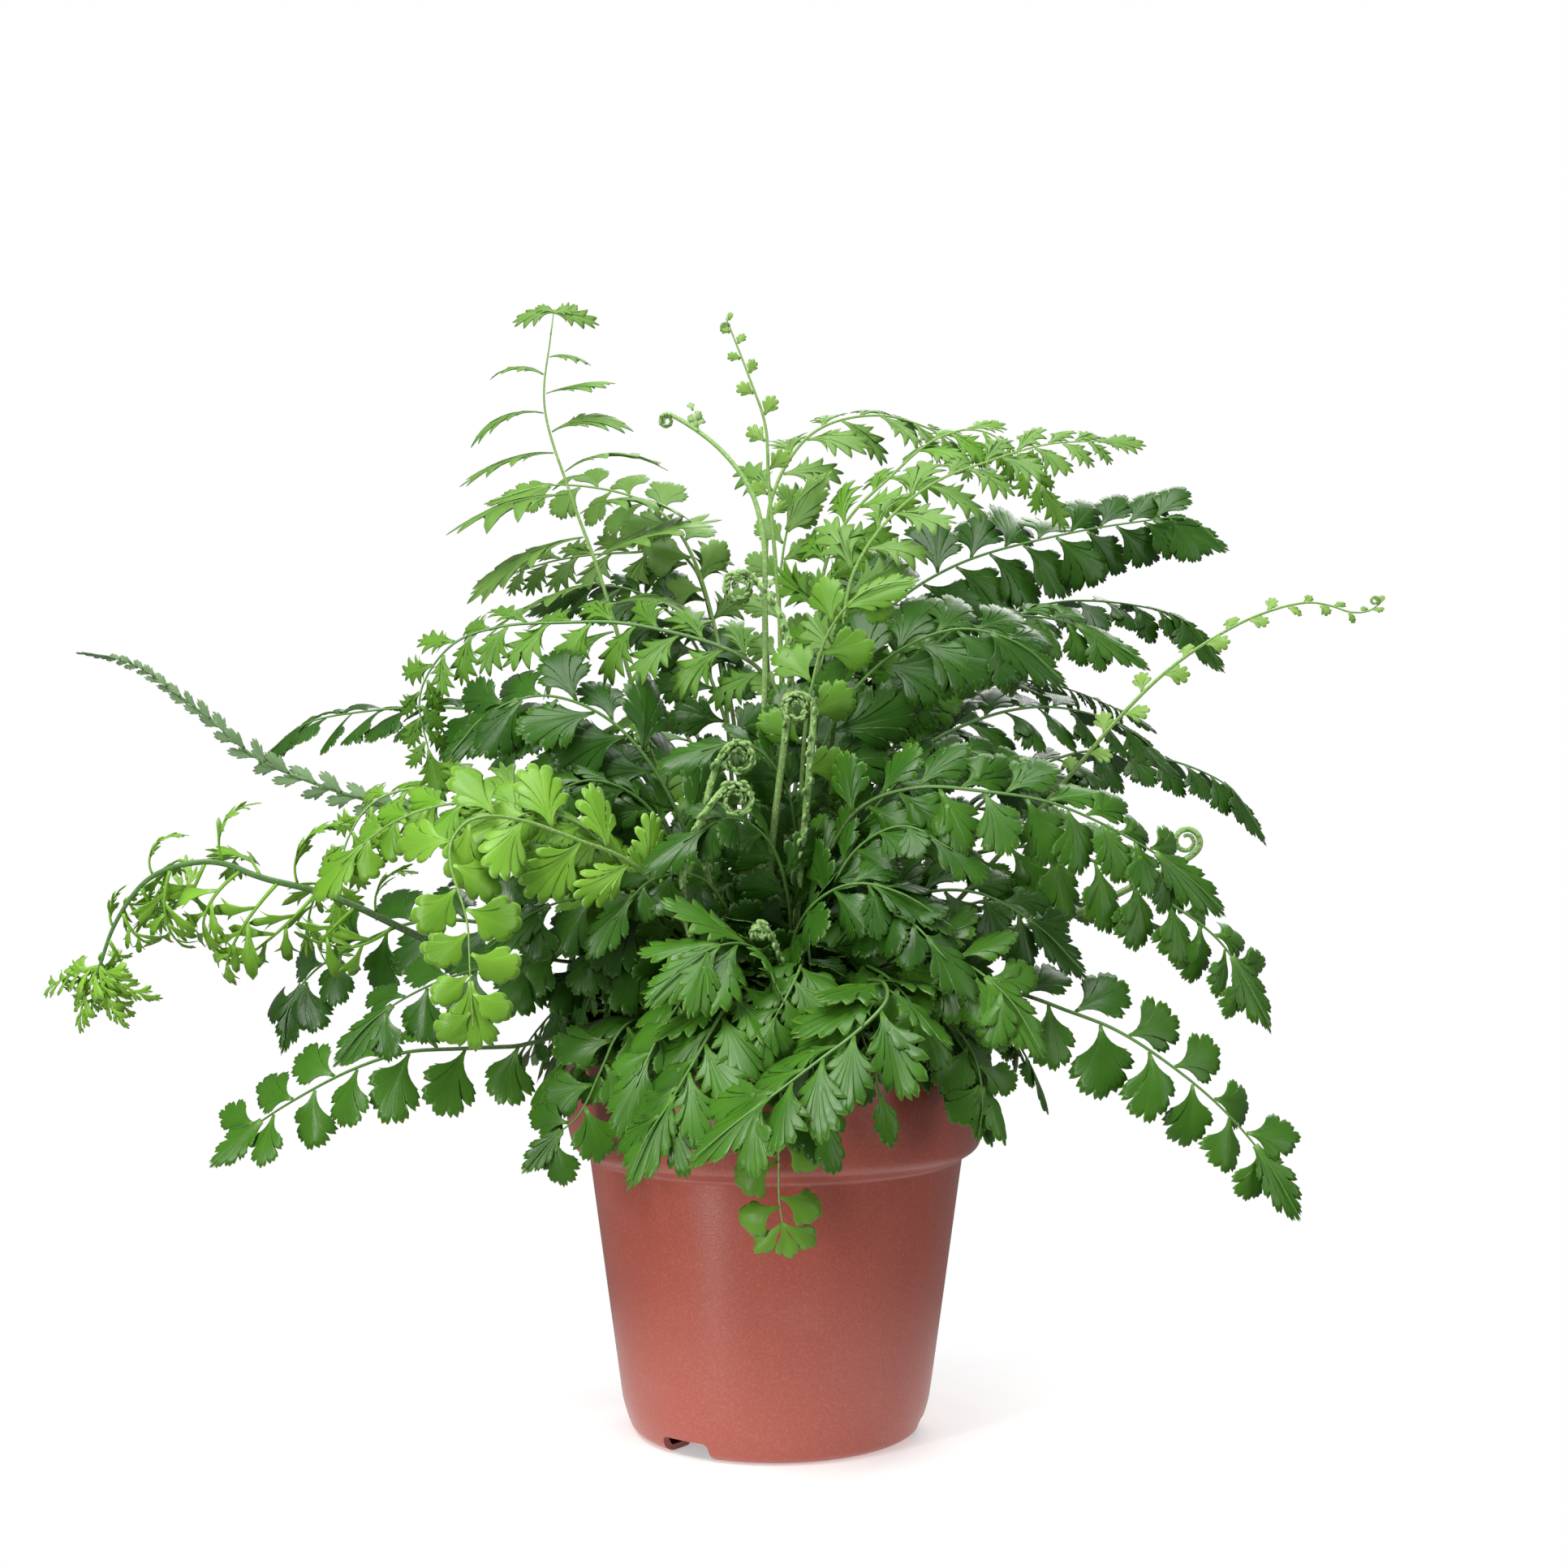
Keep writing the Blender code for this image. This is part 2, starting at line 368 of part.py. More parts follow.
def grow_blades(rows):
    """Places every pinna: each takes its full size and natural lie if there is room, or tilts, shrinks or is left out."""
    room = Room()
    for row in rows:
        st = row["stations"]
        if row["kind"] == "crozier":
            fr = frames(st, Vector((0, -1, 0)))
            tube, faces = [], []
            for k, (p, (t, n, b)) in enumerate(zip(st, fr)):
                h = 1.25 + CLEARANCE
                tube += [p + n * h + b * h, p + n * h - b * h, p - n * h - b * h, p - n * h + b * h]
            for k in range(len(st) - 1):
                for m in range(4):
                    a, c = 4 * k + m, 4 * k + (m + 1) % 4
                    faces.append((a, c, c + 4, a + 4))
            room.add(row["name"], tube, faces)
            centre = st[-1] + Vector((-0.2 * row["way"], 0, 0.6)) * row["head"]
            r, h = row["head"] * 1.35 + 1.3, 1.8
            ring = [centre + Vector((r * math.cos(a), y, r * math.sin(a))) for y in (-h, h) for a in (math.tau * m / 8 for m in range(8))]
            faces = [(m, (m + 1) % 8, 8 + (m + 1) % 8, 8 + m) for m in range(8)] + [tuple(range(8)), tuple(range(15, 7, -1))]
            room.add(row["name"], ring, faces)
            continue
        row["frames"] = fr = frames(st, row["face"])
        last = len(st) - 1
        tube, faces = [], []
        for k, (p, (t, n, b)) in enumerate(zip(st, fr)):
            w, h = stalk_size(k / last)
            w, h = w / 2 + CLEARANCE, h / 2 + CLEARANCE
            tube += [p + b * w + n * h, p - b * w + n * h, p - b * w - n * h, p + b * w - n * h]
        for k in range(last):
            for m in range(4):
                a, c = 4 * k + m, 4 * k + (m + 1) % 4
                faces.append((a, c, c + 4, a + 4))
        room.add(row["name"], tube, faces)
    for row in rows:
        if row["kind"] == "crozier":
            continue
        t, n, b = row["frames"][-1]
        tip = row["stations"][-1]
        for scale in (1.0, 0.75, 0.55, 0.35, 0.2):
            reach = min(0.42 * row["longest"], 9.0) * scale
            row["tip"] = reach
            corners = [tip + b * reach * 0.3, tip - b * reach * 0.3, tip + t * reach - b * reach * 0.3, tip + t * reach + b * reach * 0.3]
            verts, polys = prism(corners, n, 0.45, 0.35, CLEARANCE)
            if room.free(row["name"], verts, polys):
                break
        room.add(row["name"], verts, polys)
    for row in rows:
        if row["kind"] == "crozier":
            continue
        st, fr = row["stations"], row["frames"]
        last = len(st) - 1
        first = last - 2 * row["pairs"] - 1
        row["pinnae"] = []
        for m in range(2 * row["pairs"]):
            k = first + m
            side = 1 if m % 2 == 0 else -1
            share = m / (2 * row["pairs"] - 1)
            t, n, b = fr[k]
            t = (st[k + 1] - st[k]).normalized()
            n = (n - t * n.dot(t)).normalized()
            b = n.cross(t)
            w, _ = stalk_size((k + 0.5) / last)
            base0 = st[k] + b * side * w / 2
            base1 = st[k + 1] + b * side * w / 2
            middle = (base0 + base1) / 2
            gap = (st[min(k + 2, last)] - st[k]).length
            length = row["longest"] * pinna_profile(share) * (1.0, 0.93, 1.04, 0.97)[m % 4]
            angle = math.radians((84 if row["kind"] == "arch" else 66) - 20 * share)
            found = None
            for scale in (1.0, 0.86, 0.72, 0.58, 0.45, 0.33):
                for tilt in (0, 10, -10, 20, -20, 32, -32):
                    d = math.radians(row["droop"] + tilt)
                    way = t * math.cos(angle) + b * side * math.sin(angle)
                    way = (way * math.cos(d) - n * math.sin(d)).normalized()
                    up = way.cross(t).normalized() * -side
                    up.rotate(Matrix.Rotation(math.radians(row["roll"]) * side, 3, way))
                    across = up.cross(way)
                    if across.dot(t) < 0:
                        across = -across
                    long = length * scale
                    wide = min(PINNA_WIDTH[row["kind"]] * long, 0.92 * gap)
                    wide = max(wide, 1.2)
                    tip = middle + way * long
                    out1, out0 = tip + across * wide / 2, tip - across * wide / 2
                    corners = [base0, base1, out1, out0]
                    if any(in_pot(c.lerp(corners[(i + 1) % 4], f)) for i, c in enumerate(corners) for f in (0.0, 0.5)):
                        continue
                    verts, polys = prism(corners, up, 0.85, PINNA_THICK / 2, CLEARANCE)
                    if not room.free(row["name"], verts, polys):
                        continue
                    found = dict(k=k, side=side, base0=base0, base1=base1, out0=out0, out1=out1, way=way, up=up, across=across, long=long, wide=wide, scale=scale, share=share, tilt=tilt)
                    break
                if found:
                    break
            row["pinnae"].append(found)
            if found:
                outer = [found["out1"], found["out0"]]
                room.add(row["name"], *prism([found["base0"], found["base1"]] + outer, found["up"], 0.85, PINNA_THICK / 2, CLEARANCE))
                inner = [found["base0"].lerp(outer[1], 0.22), found["base1"].lerp(outer[0], 0.22)]
                room.add(row["name"], *prism(inner + outer, found["up"], 0.6, PINNA_THICK / 2, CLEARANCE), own=True)
    return rows


def make_fern():
    rows = plan()
    print("rounds to part the stalks", part_stalks(rows))
    return grow_blades(rows)


# ---------------------------------------------------------------- building
def clear():
    for obj in list(bpy.data.objects):
        bpy.data.objects.remove(obj, do_unlink=True)


def material(name, colour, roughness, metallic=0.0):
    mat = bpy.data.materials.new(name)
    mat.use_nodes = True
    shader = mat.node_tree.nodes["Principled BSDF"]
    shader.inputs["Base Color"].default_value = (*colour, 1.0)
    shader.inputs["Roughness"].default_value = roughness
    shader.inputs["Metallic"].default_value = metallic
    mat.diffuse_color = (*colour, 1.0)
    return mat


def add_object(name, data, collection, mat=None):
    obj = bpy.data.objects.new(name, data)
    collection.objects.link(obj)
    if mat:
        data.materials.append(mat)
    return obj


def turned(name, profile, steps, collection, mat):
    """A profile of radius and height, turned about Z."""
    mesh = bpy.data.meshes.new(name)
    verts = [(r * MM, 0.0, z * MM) for r, z in profile]
    mesh.from_pydata(verts, [(k, k + 1) for k in range(len(verts) - 1)], [])
    obj = add_object(name, mesh, collection, mat)
    screw = obj.modifiers.new("turn", "SCREW")
    screw.steps = screw.render_steps = steps
    screw.use_merge_vertices = True
    screw.merge_threshold = 0.0001
    screw.use_smooth_shade = True
    return obj


def box_cutter(name, size, location, angle, collection):
    bpy.ops.mesh.primitive_cube_add(size=1.0)
    obj = bpy.context.active_object
    obj.name = name
    obj.data.transform(Matrix.Diagonal((size[0] * MM, size[1] * MM, size[2] * MM, 1.0)))
    obj.matrix_world = Matrix.Rotation(math.radians(angle), 4, "Z") @ Matrix.Translation([c * MM for c in location])
    helper(obj, collection)
    return obj


def helper(obj, collection):
    for c in list(obj.users_collection):
        c.objects.unlink(obj)
    collection.objects.link(obj)
    obj.hide_render = True
    obj.display_type = "WIRE"


def cut(obj, cutter):
    boolean = obj.modifiers.new("cut_" + cutter.name, "BOOLEAN")
    boolean.operation = "DIFFERENCE"
    boolean.object = cutter
    boolean.solver = "EXACT"


def build_pot(parts, cutters):
    outer = POT_OUTER
    inner = [
        (0.0, 1.4), (12.6, 1.4), (13.8, 5.0), (31.4, 5.0), (32.6, 1.6), (38.2, 1.6),
        (41.3, 7.0), (43.4, 18.2), (51.3, 76.3), (51.8, 80.0), (57.3, 88.0), (58.9, 99.0), (58.7, 110.0),
    ]
    under = [(30.6, 0.0), (29.6, FOOT_HEIGHT), (15.6, FOOT_HEIGHT), (14.6, 0.0), (0.0, 0.0)]
    pot = turned("pot", inner + outer + under, POT_STEPS, parts, material("pot_plastic", (0.39, 0.095, 0.07), 0.45))
    for k, angle in enumerate(NOTCH_ANGLES):
        cut(pot, box_cutter(f"notch_{k + 1}", (26.0, NOTCH_WIDTH, 2 * FOOT_HEIGHT), (40.0, 0.0, 0.0), angle, cutters))
    for k in range(3):
        angle = NOTCH_ANGLES[k] + 60
        bpy.ops.mesh.primitive_cylinder_add(vertices=12, radius=DRAIN_RADIUS * MM, depth=12 * MM, end_fill_type="NGON")
        drain = bpy.context.active_object
        drain.name = f"drain_{k + 1}"
        a = math.radians(angle)
        drain.location = (DRAIN_RING * MM * math.cos(a), DRAIN_RING * MM * math.sin(a), 4 * MM)
        helper(drain, cutters)
        cut(pot, drain)
    return pot


def build_soil(parts):
    profile = [(0.0, SOIL_TOP), (36.0, SOIL_TOP), (56.4, SOIL_TOP - 3.0), (55.4, 88.2), (50.4, 80.9), (49.9, 76.0), (42.2, 18.6), (39.6, 6.6), (0.0, 5.8)]
    return turned("potting_soil", profile, 20, parts, material("soil", (0.05, 0.032, 0.02), 0.95))


def build_crown(parts):
    profile = [(0.0, SOIL_TOP + SOIL_GAP + CROWN_HEIGHT)]
    for k in range(1, 6):
        a = math.radians(90 - 18 * k)
        profile.append((CROWN_RADIUS * math.cos(a), SOIL_TOP + SOIL_GAP + CROWN_HEIGHT * math.sin(a) * 0.985))
    profile.append((0.0, SOIL_TOP + SOIL_GAP))
    return turned("crown", profile, 16, parts, material("crown", (0.07, 0.045, 0.025), 0.9))


def build_frond(row, parts, mat):
    """One open sheet, stalk and pinnae together, given its thickness by Solidify."""
    st, fr = row["stations"], row["frames"]
    last = len(st) - 1
    mesh = bpy.data.meshes.new(row["name"])
    bm = bmesh.new()
    layer = bm.verts.layers.deform.verify()
    left, right = [], []

    def vert(p, weight):
        v = bm.verts.new(p * MM)
        v[layer][0] = weight
        return v

    for k, (p, (t, n, b)) in enumerate(zip(st, fr)):
        w, h = stalk_size(k / last)
        if k == last:
            w = 1.0
        left.append(vert(p + b * w / 2, h / STALK_THICK))
        right.append(vert(p - b * w / 2, h / STALK_THICK))
    # the tip ends in a small leaflet
    t, n, b = fr[-1]
    reach = row["tip"]
    mid = [vert(st[-1] + t * reach * 0.45 + b * s * reach * 0.3, 0.35) for s in (1, -1)]
    end = [vert(st[-1] + t * reach + b * s * 0.5, 0.3) for s in (1, -1)]
    for k in range(last):
        bm.faces.new((right[k], right[k + 1], left[k + 1], left[k]))
    bm.faces.new((right[last], mid[1], mid[0], left[last]))
    bm.faces.new((mid[1], end[1], end[0], mid[0]))
    thin = PINNA_THICK / STALK_THICK
    for pinna in row["pinnae"]:
        if not pinna:
            continue
        k = pinna["k"]
        out0, out1 = vert(pinna["out0"], thin), vert(pinna["out1"], thin)
        if pinna["side"] > 0:
            bm.faces.new((left[k], left[k + 1], out1, out0))
        else:
            bm.faces.new((right[k + 1], right[k], out0, out1))
    bm.to_mesh(mesh)
    bm.free()
    obj = add_object(row["name"], mesh, parts, mat)
    obj.vertex_groups.new(name="thickness")
    solid = obj.modifiers.new("thickness", "SOLIDIFY")
    solid.thickness = STALK_THICK * MM
    solid.offset = 0.0
    solid.use_even_offset = False
    solid.use_rim = True
    solid.vertex_group = "thickness"
    return obj


def coil(centre_start, way_in, head, turns, sign):
    """Points of a flat coil that carries a stalk on, in the plane of X and Z, tightening as it goes."""
    out = []
    a0 = math.atan2(way_in.z, way_in.x) - sign * math.pi / 2
    centre = centre_start - Vector((math.cos(a0), 0, math.sin(a0))) * head
    n = max(6, round(turns * 8))
    for k in range(1, n + 1):
        f = k / n
        r = head * (1 - 0.62 * f)
        a = a0 + sign * turns * math.tau * f
        drift = Vector((0, 0, 0))
        out.append(centre + Vector((r * math.cos(a), 0, r * math.sin(a))) + drift)
    return out


def build_crozier(row, parts, mat):
    st = row["stations"]
    points = list(st) + coil(st[-1], (st[-1] - st[-2]).normalized(), row["head"], row["turns"], row["way"])
    data = bpy.data.curves.new(row["name"], "CURVE")
    data.dimensions = "3D"
    data.bevel_depth = 1.1 * MM
    data.bevel_resolution = 0
    data.use_fill_caps = True
    spline = data.splines.new("POLY")
    spline.points.add(len(points) - 1)
    for k, p in enumerate(points):
        spline.points[k].co = (*(p * MM), 1.0)
        spline.points[k].radius = 1.0 if k < len(st) else 1.0 - 0.45 * (k - len(st) + 1) / (len(points) - len(st))
    return add_object(row["name"], data, parts, mat)


GREENS = {
    "lobed": (0.035, 0.16, 0.025), "broad": (0.025, 0.12, 0.02), "fan": (0.04, 0.19, 0.03), "round": (0.16, 0.42, 0.04),
    "fine": (0.07, 0.27, 0.04), "arch": (0.09, 0.26, 0.06), "narrow": (0.03, 0.13, 0.02), "edge": (0.08, 0.2, 0.07),
    "claw": (0.2, 0.5, 0.04), "young": (0.14, 0.34, 0.06), "crozier": (0.16, 0.3, 0.08),
}


def main():
    clear()
    scene = bpy.context.scene
    parts = bpy.data.collections.new("potted_fern")
    cutters = bpy.data.collections.new("cutters")
    scene.collection.children.link(parts)
    scene.collection.children.link(cutters)
    build_pot(parts, cutters)
    build_soil(parts)
    build_crown(parts)
    kept = dropped = 0
    for row in make_fern():
        mat = material(row["name"] + "_green", GREENS[row["kind"]], 0.4)
        if row["kind"] == "crozier":
            build_crozier(row, parts, mat)
        else:
            build_frond(row, parts, mat)
            kept += sum(1 for p in row["pinnae"] if p)
            dropped += sum(1 for p in row["pinnae"] if not p)
    print("pinnae placed", kept, "left out", dropped)


main()
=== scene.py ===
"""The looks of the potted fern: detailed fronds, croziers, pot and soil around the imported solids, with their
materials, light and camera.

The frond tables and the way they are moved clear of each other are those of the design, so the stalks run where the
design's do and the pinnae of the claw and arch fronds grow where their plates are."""

import json
import math
import random

import bmesh
import bpy
import numpy as np
from mathutils import Matrix, Vector
from mathutils.bvhtree import BVHTree
from mathutils.kdtree import KDTree

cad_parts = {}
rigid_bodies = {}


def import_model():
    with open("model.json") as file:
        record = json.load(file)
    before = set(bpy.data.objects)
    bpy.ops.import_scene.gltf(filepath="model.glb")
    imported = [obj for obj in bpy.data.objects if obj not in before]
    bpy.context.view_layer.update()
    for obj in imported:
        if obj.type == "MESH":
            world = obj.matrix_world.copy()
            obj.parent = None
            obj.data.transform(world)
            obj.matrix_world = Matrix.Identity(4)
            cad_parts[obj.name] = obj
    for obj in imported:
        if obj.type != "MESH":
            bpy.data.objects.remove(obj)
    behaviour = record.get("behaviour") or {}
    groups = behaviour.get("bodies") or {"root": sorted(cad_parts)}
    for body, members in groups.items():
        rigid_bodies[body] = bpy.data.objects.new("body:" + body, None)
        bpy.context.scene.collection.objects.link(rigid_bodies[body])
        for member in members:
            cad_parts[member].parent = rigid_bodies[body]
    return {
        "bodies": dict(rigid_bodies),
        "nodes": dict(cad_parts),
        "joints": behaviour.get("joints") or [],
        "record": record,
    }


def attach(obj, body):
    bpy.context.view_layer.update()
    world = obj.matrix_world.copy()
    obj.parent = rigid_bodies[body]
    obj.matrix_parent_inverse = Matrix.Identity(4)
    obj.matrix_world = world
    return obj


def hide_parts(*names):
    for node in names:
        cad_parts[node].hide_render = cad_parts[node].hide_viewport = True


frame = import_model()

MM = 0.001

# ---------------------------------------------------------------- pot, soil and crown
POT_HEIGHT = 110.0
RIM_RADIUS = 60.5
WALL = 1.3
FOOT_RADIUS = 39.0
FOOT_HEIGHT = 3.6
NOTCH_WIDTH = 15.5
NOTCH_ANGLES = (-126.5, -6.5, 113.5)  # degrees from +X
DRAIN_RADIUS = 3.2
DRAIN_RING = 22.0
SOIL_TOP = 96.0
SOIL_GAP = 0.4
CROWN_RADIUS = 29.0
CROWN_HEIGHT = 12.0
POT_STEPS = 26

# radius and height down the outer side, from the rim to the foot
POT_OUTER = [
    (60.5, 110.0), (60.2, 99.0), (58.6, 87.5), (56.4, 82.5), (53.0, 79.0),
    (52.6, 76.0), (44.7, 18.0), (42.8, 7.0), (39.0, 0.0),
]

# ---------------------------------------------------------------- fronds
# name: (kind, points from the crown outwards, way the blade faces, pairs of pinnae, longest pinna,
#        bare share of the stalk, droop of the pinnae, roll of the pinnae)
FRONDS = {
    "frond_front_middle_long": ("lobed", [(16, -40, 126), (27, -62, 132), (28, -78, 128), (20, -87, 121), (11, -93, 115), (1, -98, 108), (-9, -101, 101), (-20, -103, 92)], (0.0, -0.85, 0.5), 8, 32, 0.34, 8, 0),
    "frond_right_show": ("lobed", [(10, -28, 150), (22, -45, 176), (37, -54, 182), (55, -60, 181), (72, -62, 178), (90, -62, 170), (106, -60, 160), (117, -58, 150)], (0.15, -0.85, 0.5), 9, 25, 0.38, 6, 0),
    "frond_lime_front_left": ("round", [(-22, -35, 140), (-37, -58, 162), (-52, -66, 169), (-66, -71, 174), (-77, -76, 174), (-82, -79, 167), (-80, -82, 158), (-77, -84, 149), (-76, -86, 137), (-75, -87, 122)], (0.0, -0.9, 0.45), 9, 18, 0.36, 6, 0),
    "frond_lower_right": ("fan", [(36, -26, 122), (52, -36, 128), (65, -43, 127), (77, -47, 123), (90, -50, 118), (104, -53, 109), (117, -56, 98), (128, -58, 85), (136, -60, 71)], (0.15, -0.9, 0.35), 9, 19, 0.36, 4, 0),
    "frond_lower_left": ("fan", [(-36, -24, 119), (-52, -34, 117), (-66, -38, 113), (-84, -40, 112), (-99, -40, 111), (-112, -40, 107), (-126, -40, 100), (-140, -40, 91), (-151, -40, 81)], (-0.1, -0.9, 0.4), 9, 16, 0.40, 4, 0),
    "frond_lime_curled_left": ("claw", [(-36, -20, 119), (-52, -26, 124), (-75, -30, 132), (-95, -34, 141), (-120, -38, 153), (-138, -41, 158), (-149, -42, 162), (-160, -43, 161), (-168, -44, 157), (-176, -44, 146), (-181, -44, 132)], (0.0, -0.75, 0.65), 10, 22, 0.48, 20, 0),
    "frond_hanging_front": ("round", [(3, -44, 119), (3, -60, 119), (2, -71, 108), (1, -73, 96), (1, -73, 86), (1, -73, 78), (2, -73, 70), (3, -73, 60)], (0.0, -1.0, 0.15), 4, 11, 0.56, 0, 0),
    "frond_fine_left": ("fine", [(-1, -14, 165), (2, -18, 200), (-5, -18, 215), (-15, -17, 221), (-28, -16, 225), (-44, -15, 228), (-60, -15, 228), (-76, -15, 227), (-90, -15, 222), (-99, -16, 208), (-96, -17, 190)], (0.0, -0.8, 0.6), 10, 23, 0.46, 10, 0),
    "frond_front_left_long": ("lobed", [(-6, -38, 124), (-9, -60, 130), (-14, -75, 124), (-20, -83, 114), (-26, -88, 104), (-32, -91, 95), (-36, -92, 85)], (-0.2, -0.9, 0.4), 7, 24, 0.36, 6, 0),
    "frond_erect_left": ("arch", [(-22, 14, 150), (-40, 19, 205), (-52, 20, 245), (-60, 20, 267), (-68, 20, 294), (-66, 20, 316)], (0.0, -1.0, 0.0), 7, 29, 0.56, -6, 58),
    "frond_pale_left": ("fan", [(-8, 20, 160), (-15, 30, 215), (-27, 36, 255), (-39, 42, 268), (-68, 54, 275), (-89, 62, 271)], (0.0, -0.75, 0.65), 6, 19, 0.60, 8, 0),
    "frond_upper_left_fine": ("fine", [(-12, 32, 165), (-18, 42, 225), (-28, 42, 252), (-45, 42, 253), (-64, 40, 251), (-81, 38, 246)], (0.0, -0.7, 0.7), 6, 19, 0.60, 10, 0),
    "frond_young_erect": ("young", [(3, -4, 170), (1, -9, 230), (-2, -10, 268), (-3, -10, 284), (-7, -10, 296), (-14, -10, 314)], (0.0, -1.0, 0.1), 5, 7, 0.72, -10, 20),
    "frond_top_middle": ("fine", [(0, 16, 170), (-3, 20, 235), (-1, 22, 268), (11, 26, 287), (30, 32, 293), (48, 38, 289), (63, 43, 280)], (0.0, -0.6, 0.8), 7, 17, 0.64, 8, 0),
    "frond_top_right": ("fine", [(9, 1, 165), (12, 0, 215), (14, 0, 245), (21, 0, 259), (32, 0, 270), (45, 0, 281), (57, 0, 284), (68, 0, 278), (77, 0, 266)], (-0.2, -0.65, 0.75), 9, 19, 0.50, 8, 0),
    "frond_top_right_long": ("fine", [(13, -12, 165), (18, -18, 215), (21, -20, 240), (31, -20, 256), (45, -20, 267), (58, -20, 272), (75, -20, 277), (92, -20, 278)], (-0.2, -0.75, 0.65), 9, 17, 0.48, 8, 0),
    "frond_broad_right": ("broad", [(11, 28, 165), (14, 40, 203), (24, 48, 224), (38, 56, 240), (58, 62, 252), (85, 66, 260), (112, 68, 265), (130, 68, 266), (139, 68, 258)], (-0.1, -0.75, 0.65), 9, 29, 0.42, 14, 0),
    "frond_back_right_high": ("lobed", [(25, 50, 165), (45, 78, 210), (68, 92, 234), (90, 98, 242), (112, 99, 242), (133, 97, 236), (144, 95, 222)], (0.0, -0.5, 0.86), 8, 24, 0.45, 12, 0),
    "frond_right_lit": ("lobed", [(22, 14, 160), (35, 24, 205), (53, 30, 229), (76, 32, 233), (93, 32, 229), (110, 30, 219)], (0.0, -0.6, 0.8), 7, 22, 0.44, 10, 0),
    "frond_back_right_thin": ("narrow", [(28, 62, 155), (48, 92, 198), (76, 112, 217), (96, 117, 215), (116, 117, 207)], (0.0, -0.4, 0.9), 6, 20, 0.48, 14, 0),
    "frond_young_right_long": ("young", [(38, -6, 135), (62, -9, 162), (84, -10, 187), (95, -10, 200), (109, -10, 214), (123, -10, 224), (137, -10, 231), (151, -10, 234), (165, -10, 231), (171, -10, 235)], (-0.1, -0.75, 0.65), 8, 9, 0.46, 0, 0),
    "frond_back_right_wavy": ("lobed", [(40, 44, 150), (68, 68, 180), (96, 78, 193), (118, 80, 192), (133, 80, 188), (145, 79, 181), (155, 78, 166)], (0.0, -0.35, 0.93), 8, 20, 0.44, 16, 0),
    "frond_right_drooping": ("lobed", [(30, -18, 145), (50, -26, 162), (72, -30, 166), (89, -31, 161), (105, -31, 152), (121, -31, 140), (135, -30, 117)], (0.2, -0.75, 0.6), 8, 20, 0.42, 8, 0),
    "frond_rim_right": ("fan", [(32, -32, 119), (44, -46, 121), (52, -56, 112), (54, -59, 101), (53, -60, 91)], (0.45, -0.85, 0.15), 4, 12, 0.48, 4, 0),
    "frond_rim_left": ("fan", [(-28, -36, 120), (-40, -52, 119), (-46, -59, 107), (-51, -62, 97), (-58, -63, 91), (-65, -62, 83)], (-0.2, -0.95, 0.2), 4, 13, 0.48, 4, 0),
    "frond_left_dark_drooping": ("fan", [(-45, -14, 130), (-74, -18, 143), (-98, -19, 145), (-115, -19, 139), (-128, -19, 131), (-135, -19, 121), (-137, -19, 110)], (-0.2, -0.8, 0.55), 7, 17, 0.44, 8, 0),
    "frond_lime_left_fine": ("fine", [(-38, -8, 145), (-70, -9, 173), (-97, -9, 182), (-113, -9, 178), (-121, -9, 166), (-123, -9, 150)], (0.0, -0.8, 0.6), 7, 20, 0.44, 10, 0),
    "frond_back_left_rising": ("edge", [(-48, 16, 140), (-85, 24, 164), (-115, 28, 176), (-137, 30, 183), (-155, 30, 191), (-168, 30, 202), (-180, 30, 211), (-190, 30, 218), (-199, 30, 221)], (0.25, 0.25, 0.94), 10, 12, 0.48, 12, 0),
    "frond_left_long": ("lobed", [(-24, 8, 150), (-38, 14, 182), (-51, 19, 190), (-66, 24, 197), (-83, 30, 204), (-102, 37, 206), (-125, 44, 205), (-145, 50, 201), (-159, 54, 190)], (0.0, -0.5, 0.86), 9, 20, 0.38, 10, 0),
    "frond_front_left_low": ("fan", [(-16, -32, 128), (-28, -44, 138), (-42, -48, 141), (-56, -48, 139), (-70, -46, 134)], (0.0, -0.85, 0.5), 6, 15, 0.34, 6, 0),
    "frond_pale_middle": ("fan", [(4, 10, 170), (1, 12, 225), (2, 12, 250), (6, 9, 264), (14, 5, 271)], (0.0, -0.95, 0.3), 5, 18, 0.60, 4, 0),
    "frond_broad_middle_right": ("broad", [(8, -18, 160), (12, -27, 190), (21, -31, 208), (35, -33, 220), (50, -34, 225), (66, -34, 221), (78, -33, 211)], (0.0, -0.8, 0.6), 6, 29, 0.44, 10, 0),
    "frond_right_middle": ("lobed", [(20, 8, 155), (34, 16, 186), (57, 24, 201), (82, 32, 206), (107, 40, 199), (121, 45, 187)], (0.0, -0.5, 0.86), 7, 22, 0.42, 10, 0),
    "frond_front_right_short": ("fan", [(22, -30, 138), (37, -42, 153), (54, -47, 154), (70, -48, 145), (82, -47, 133)], (0.2, -0.7, 0.7), 6, 19, 0.36, 8, 0),
    "frond_front_left_short": ("lobed", [(0, -38, 127), (-4, -56, 139), (-12, -68, 142), (-22, -76, 138), (-31, -82, 129)], (-0.1, -0.75, 0.65), 5, 24, 0.36, 8, 0),
    "frond_front_right_low": ("lobed", [(20, -36, 127), (34, -52, 137), (48, -62, 137), (60, -68, 128), (68, -72, 115)], (0.2, -0.75, 0.65), 6, 25, 0.34, 8, 0),
    "frond_left_dark": ("fan", [(-32, -28, 127), (-53, -40, 135), (-74, -50, 135), (-91, -57, 130), (-104, -62, 122), (-113, -65, 112)], (-0.2, -0.75, 0.6), 7, 18, 0.38, 8, 0),
    "frond_left_middle": ("fan", [(-20, -34, 133), (-34, -48, 148), (-50, -54, 153), (-64, -56, 149), (-75, -56, 140)], (0.0, -0.8, 0.6), 5, 18, 0.36, 8, 0),
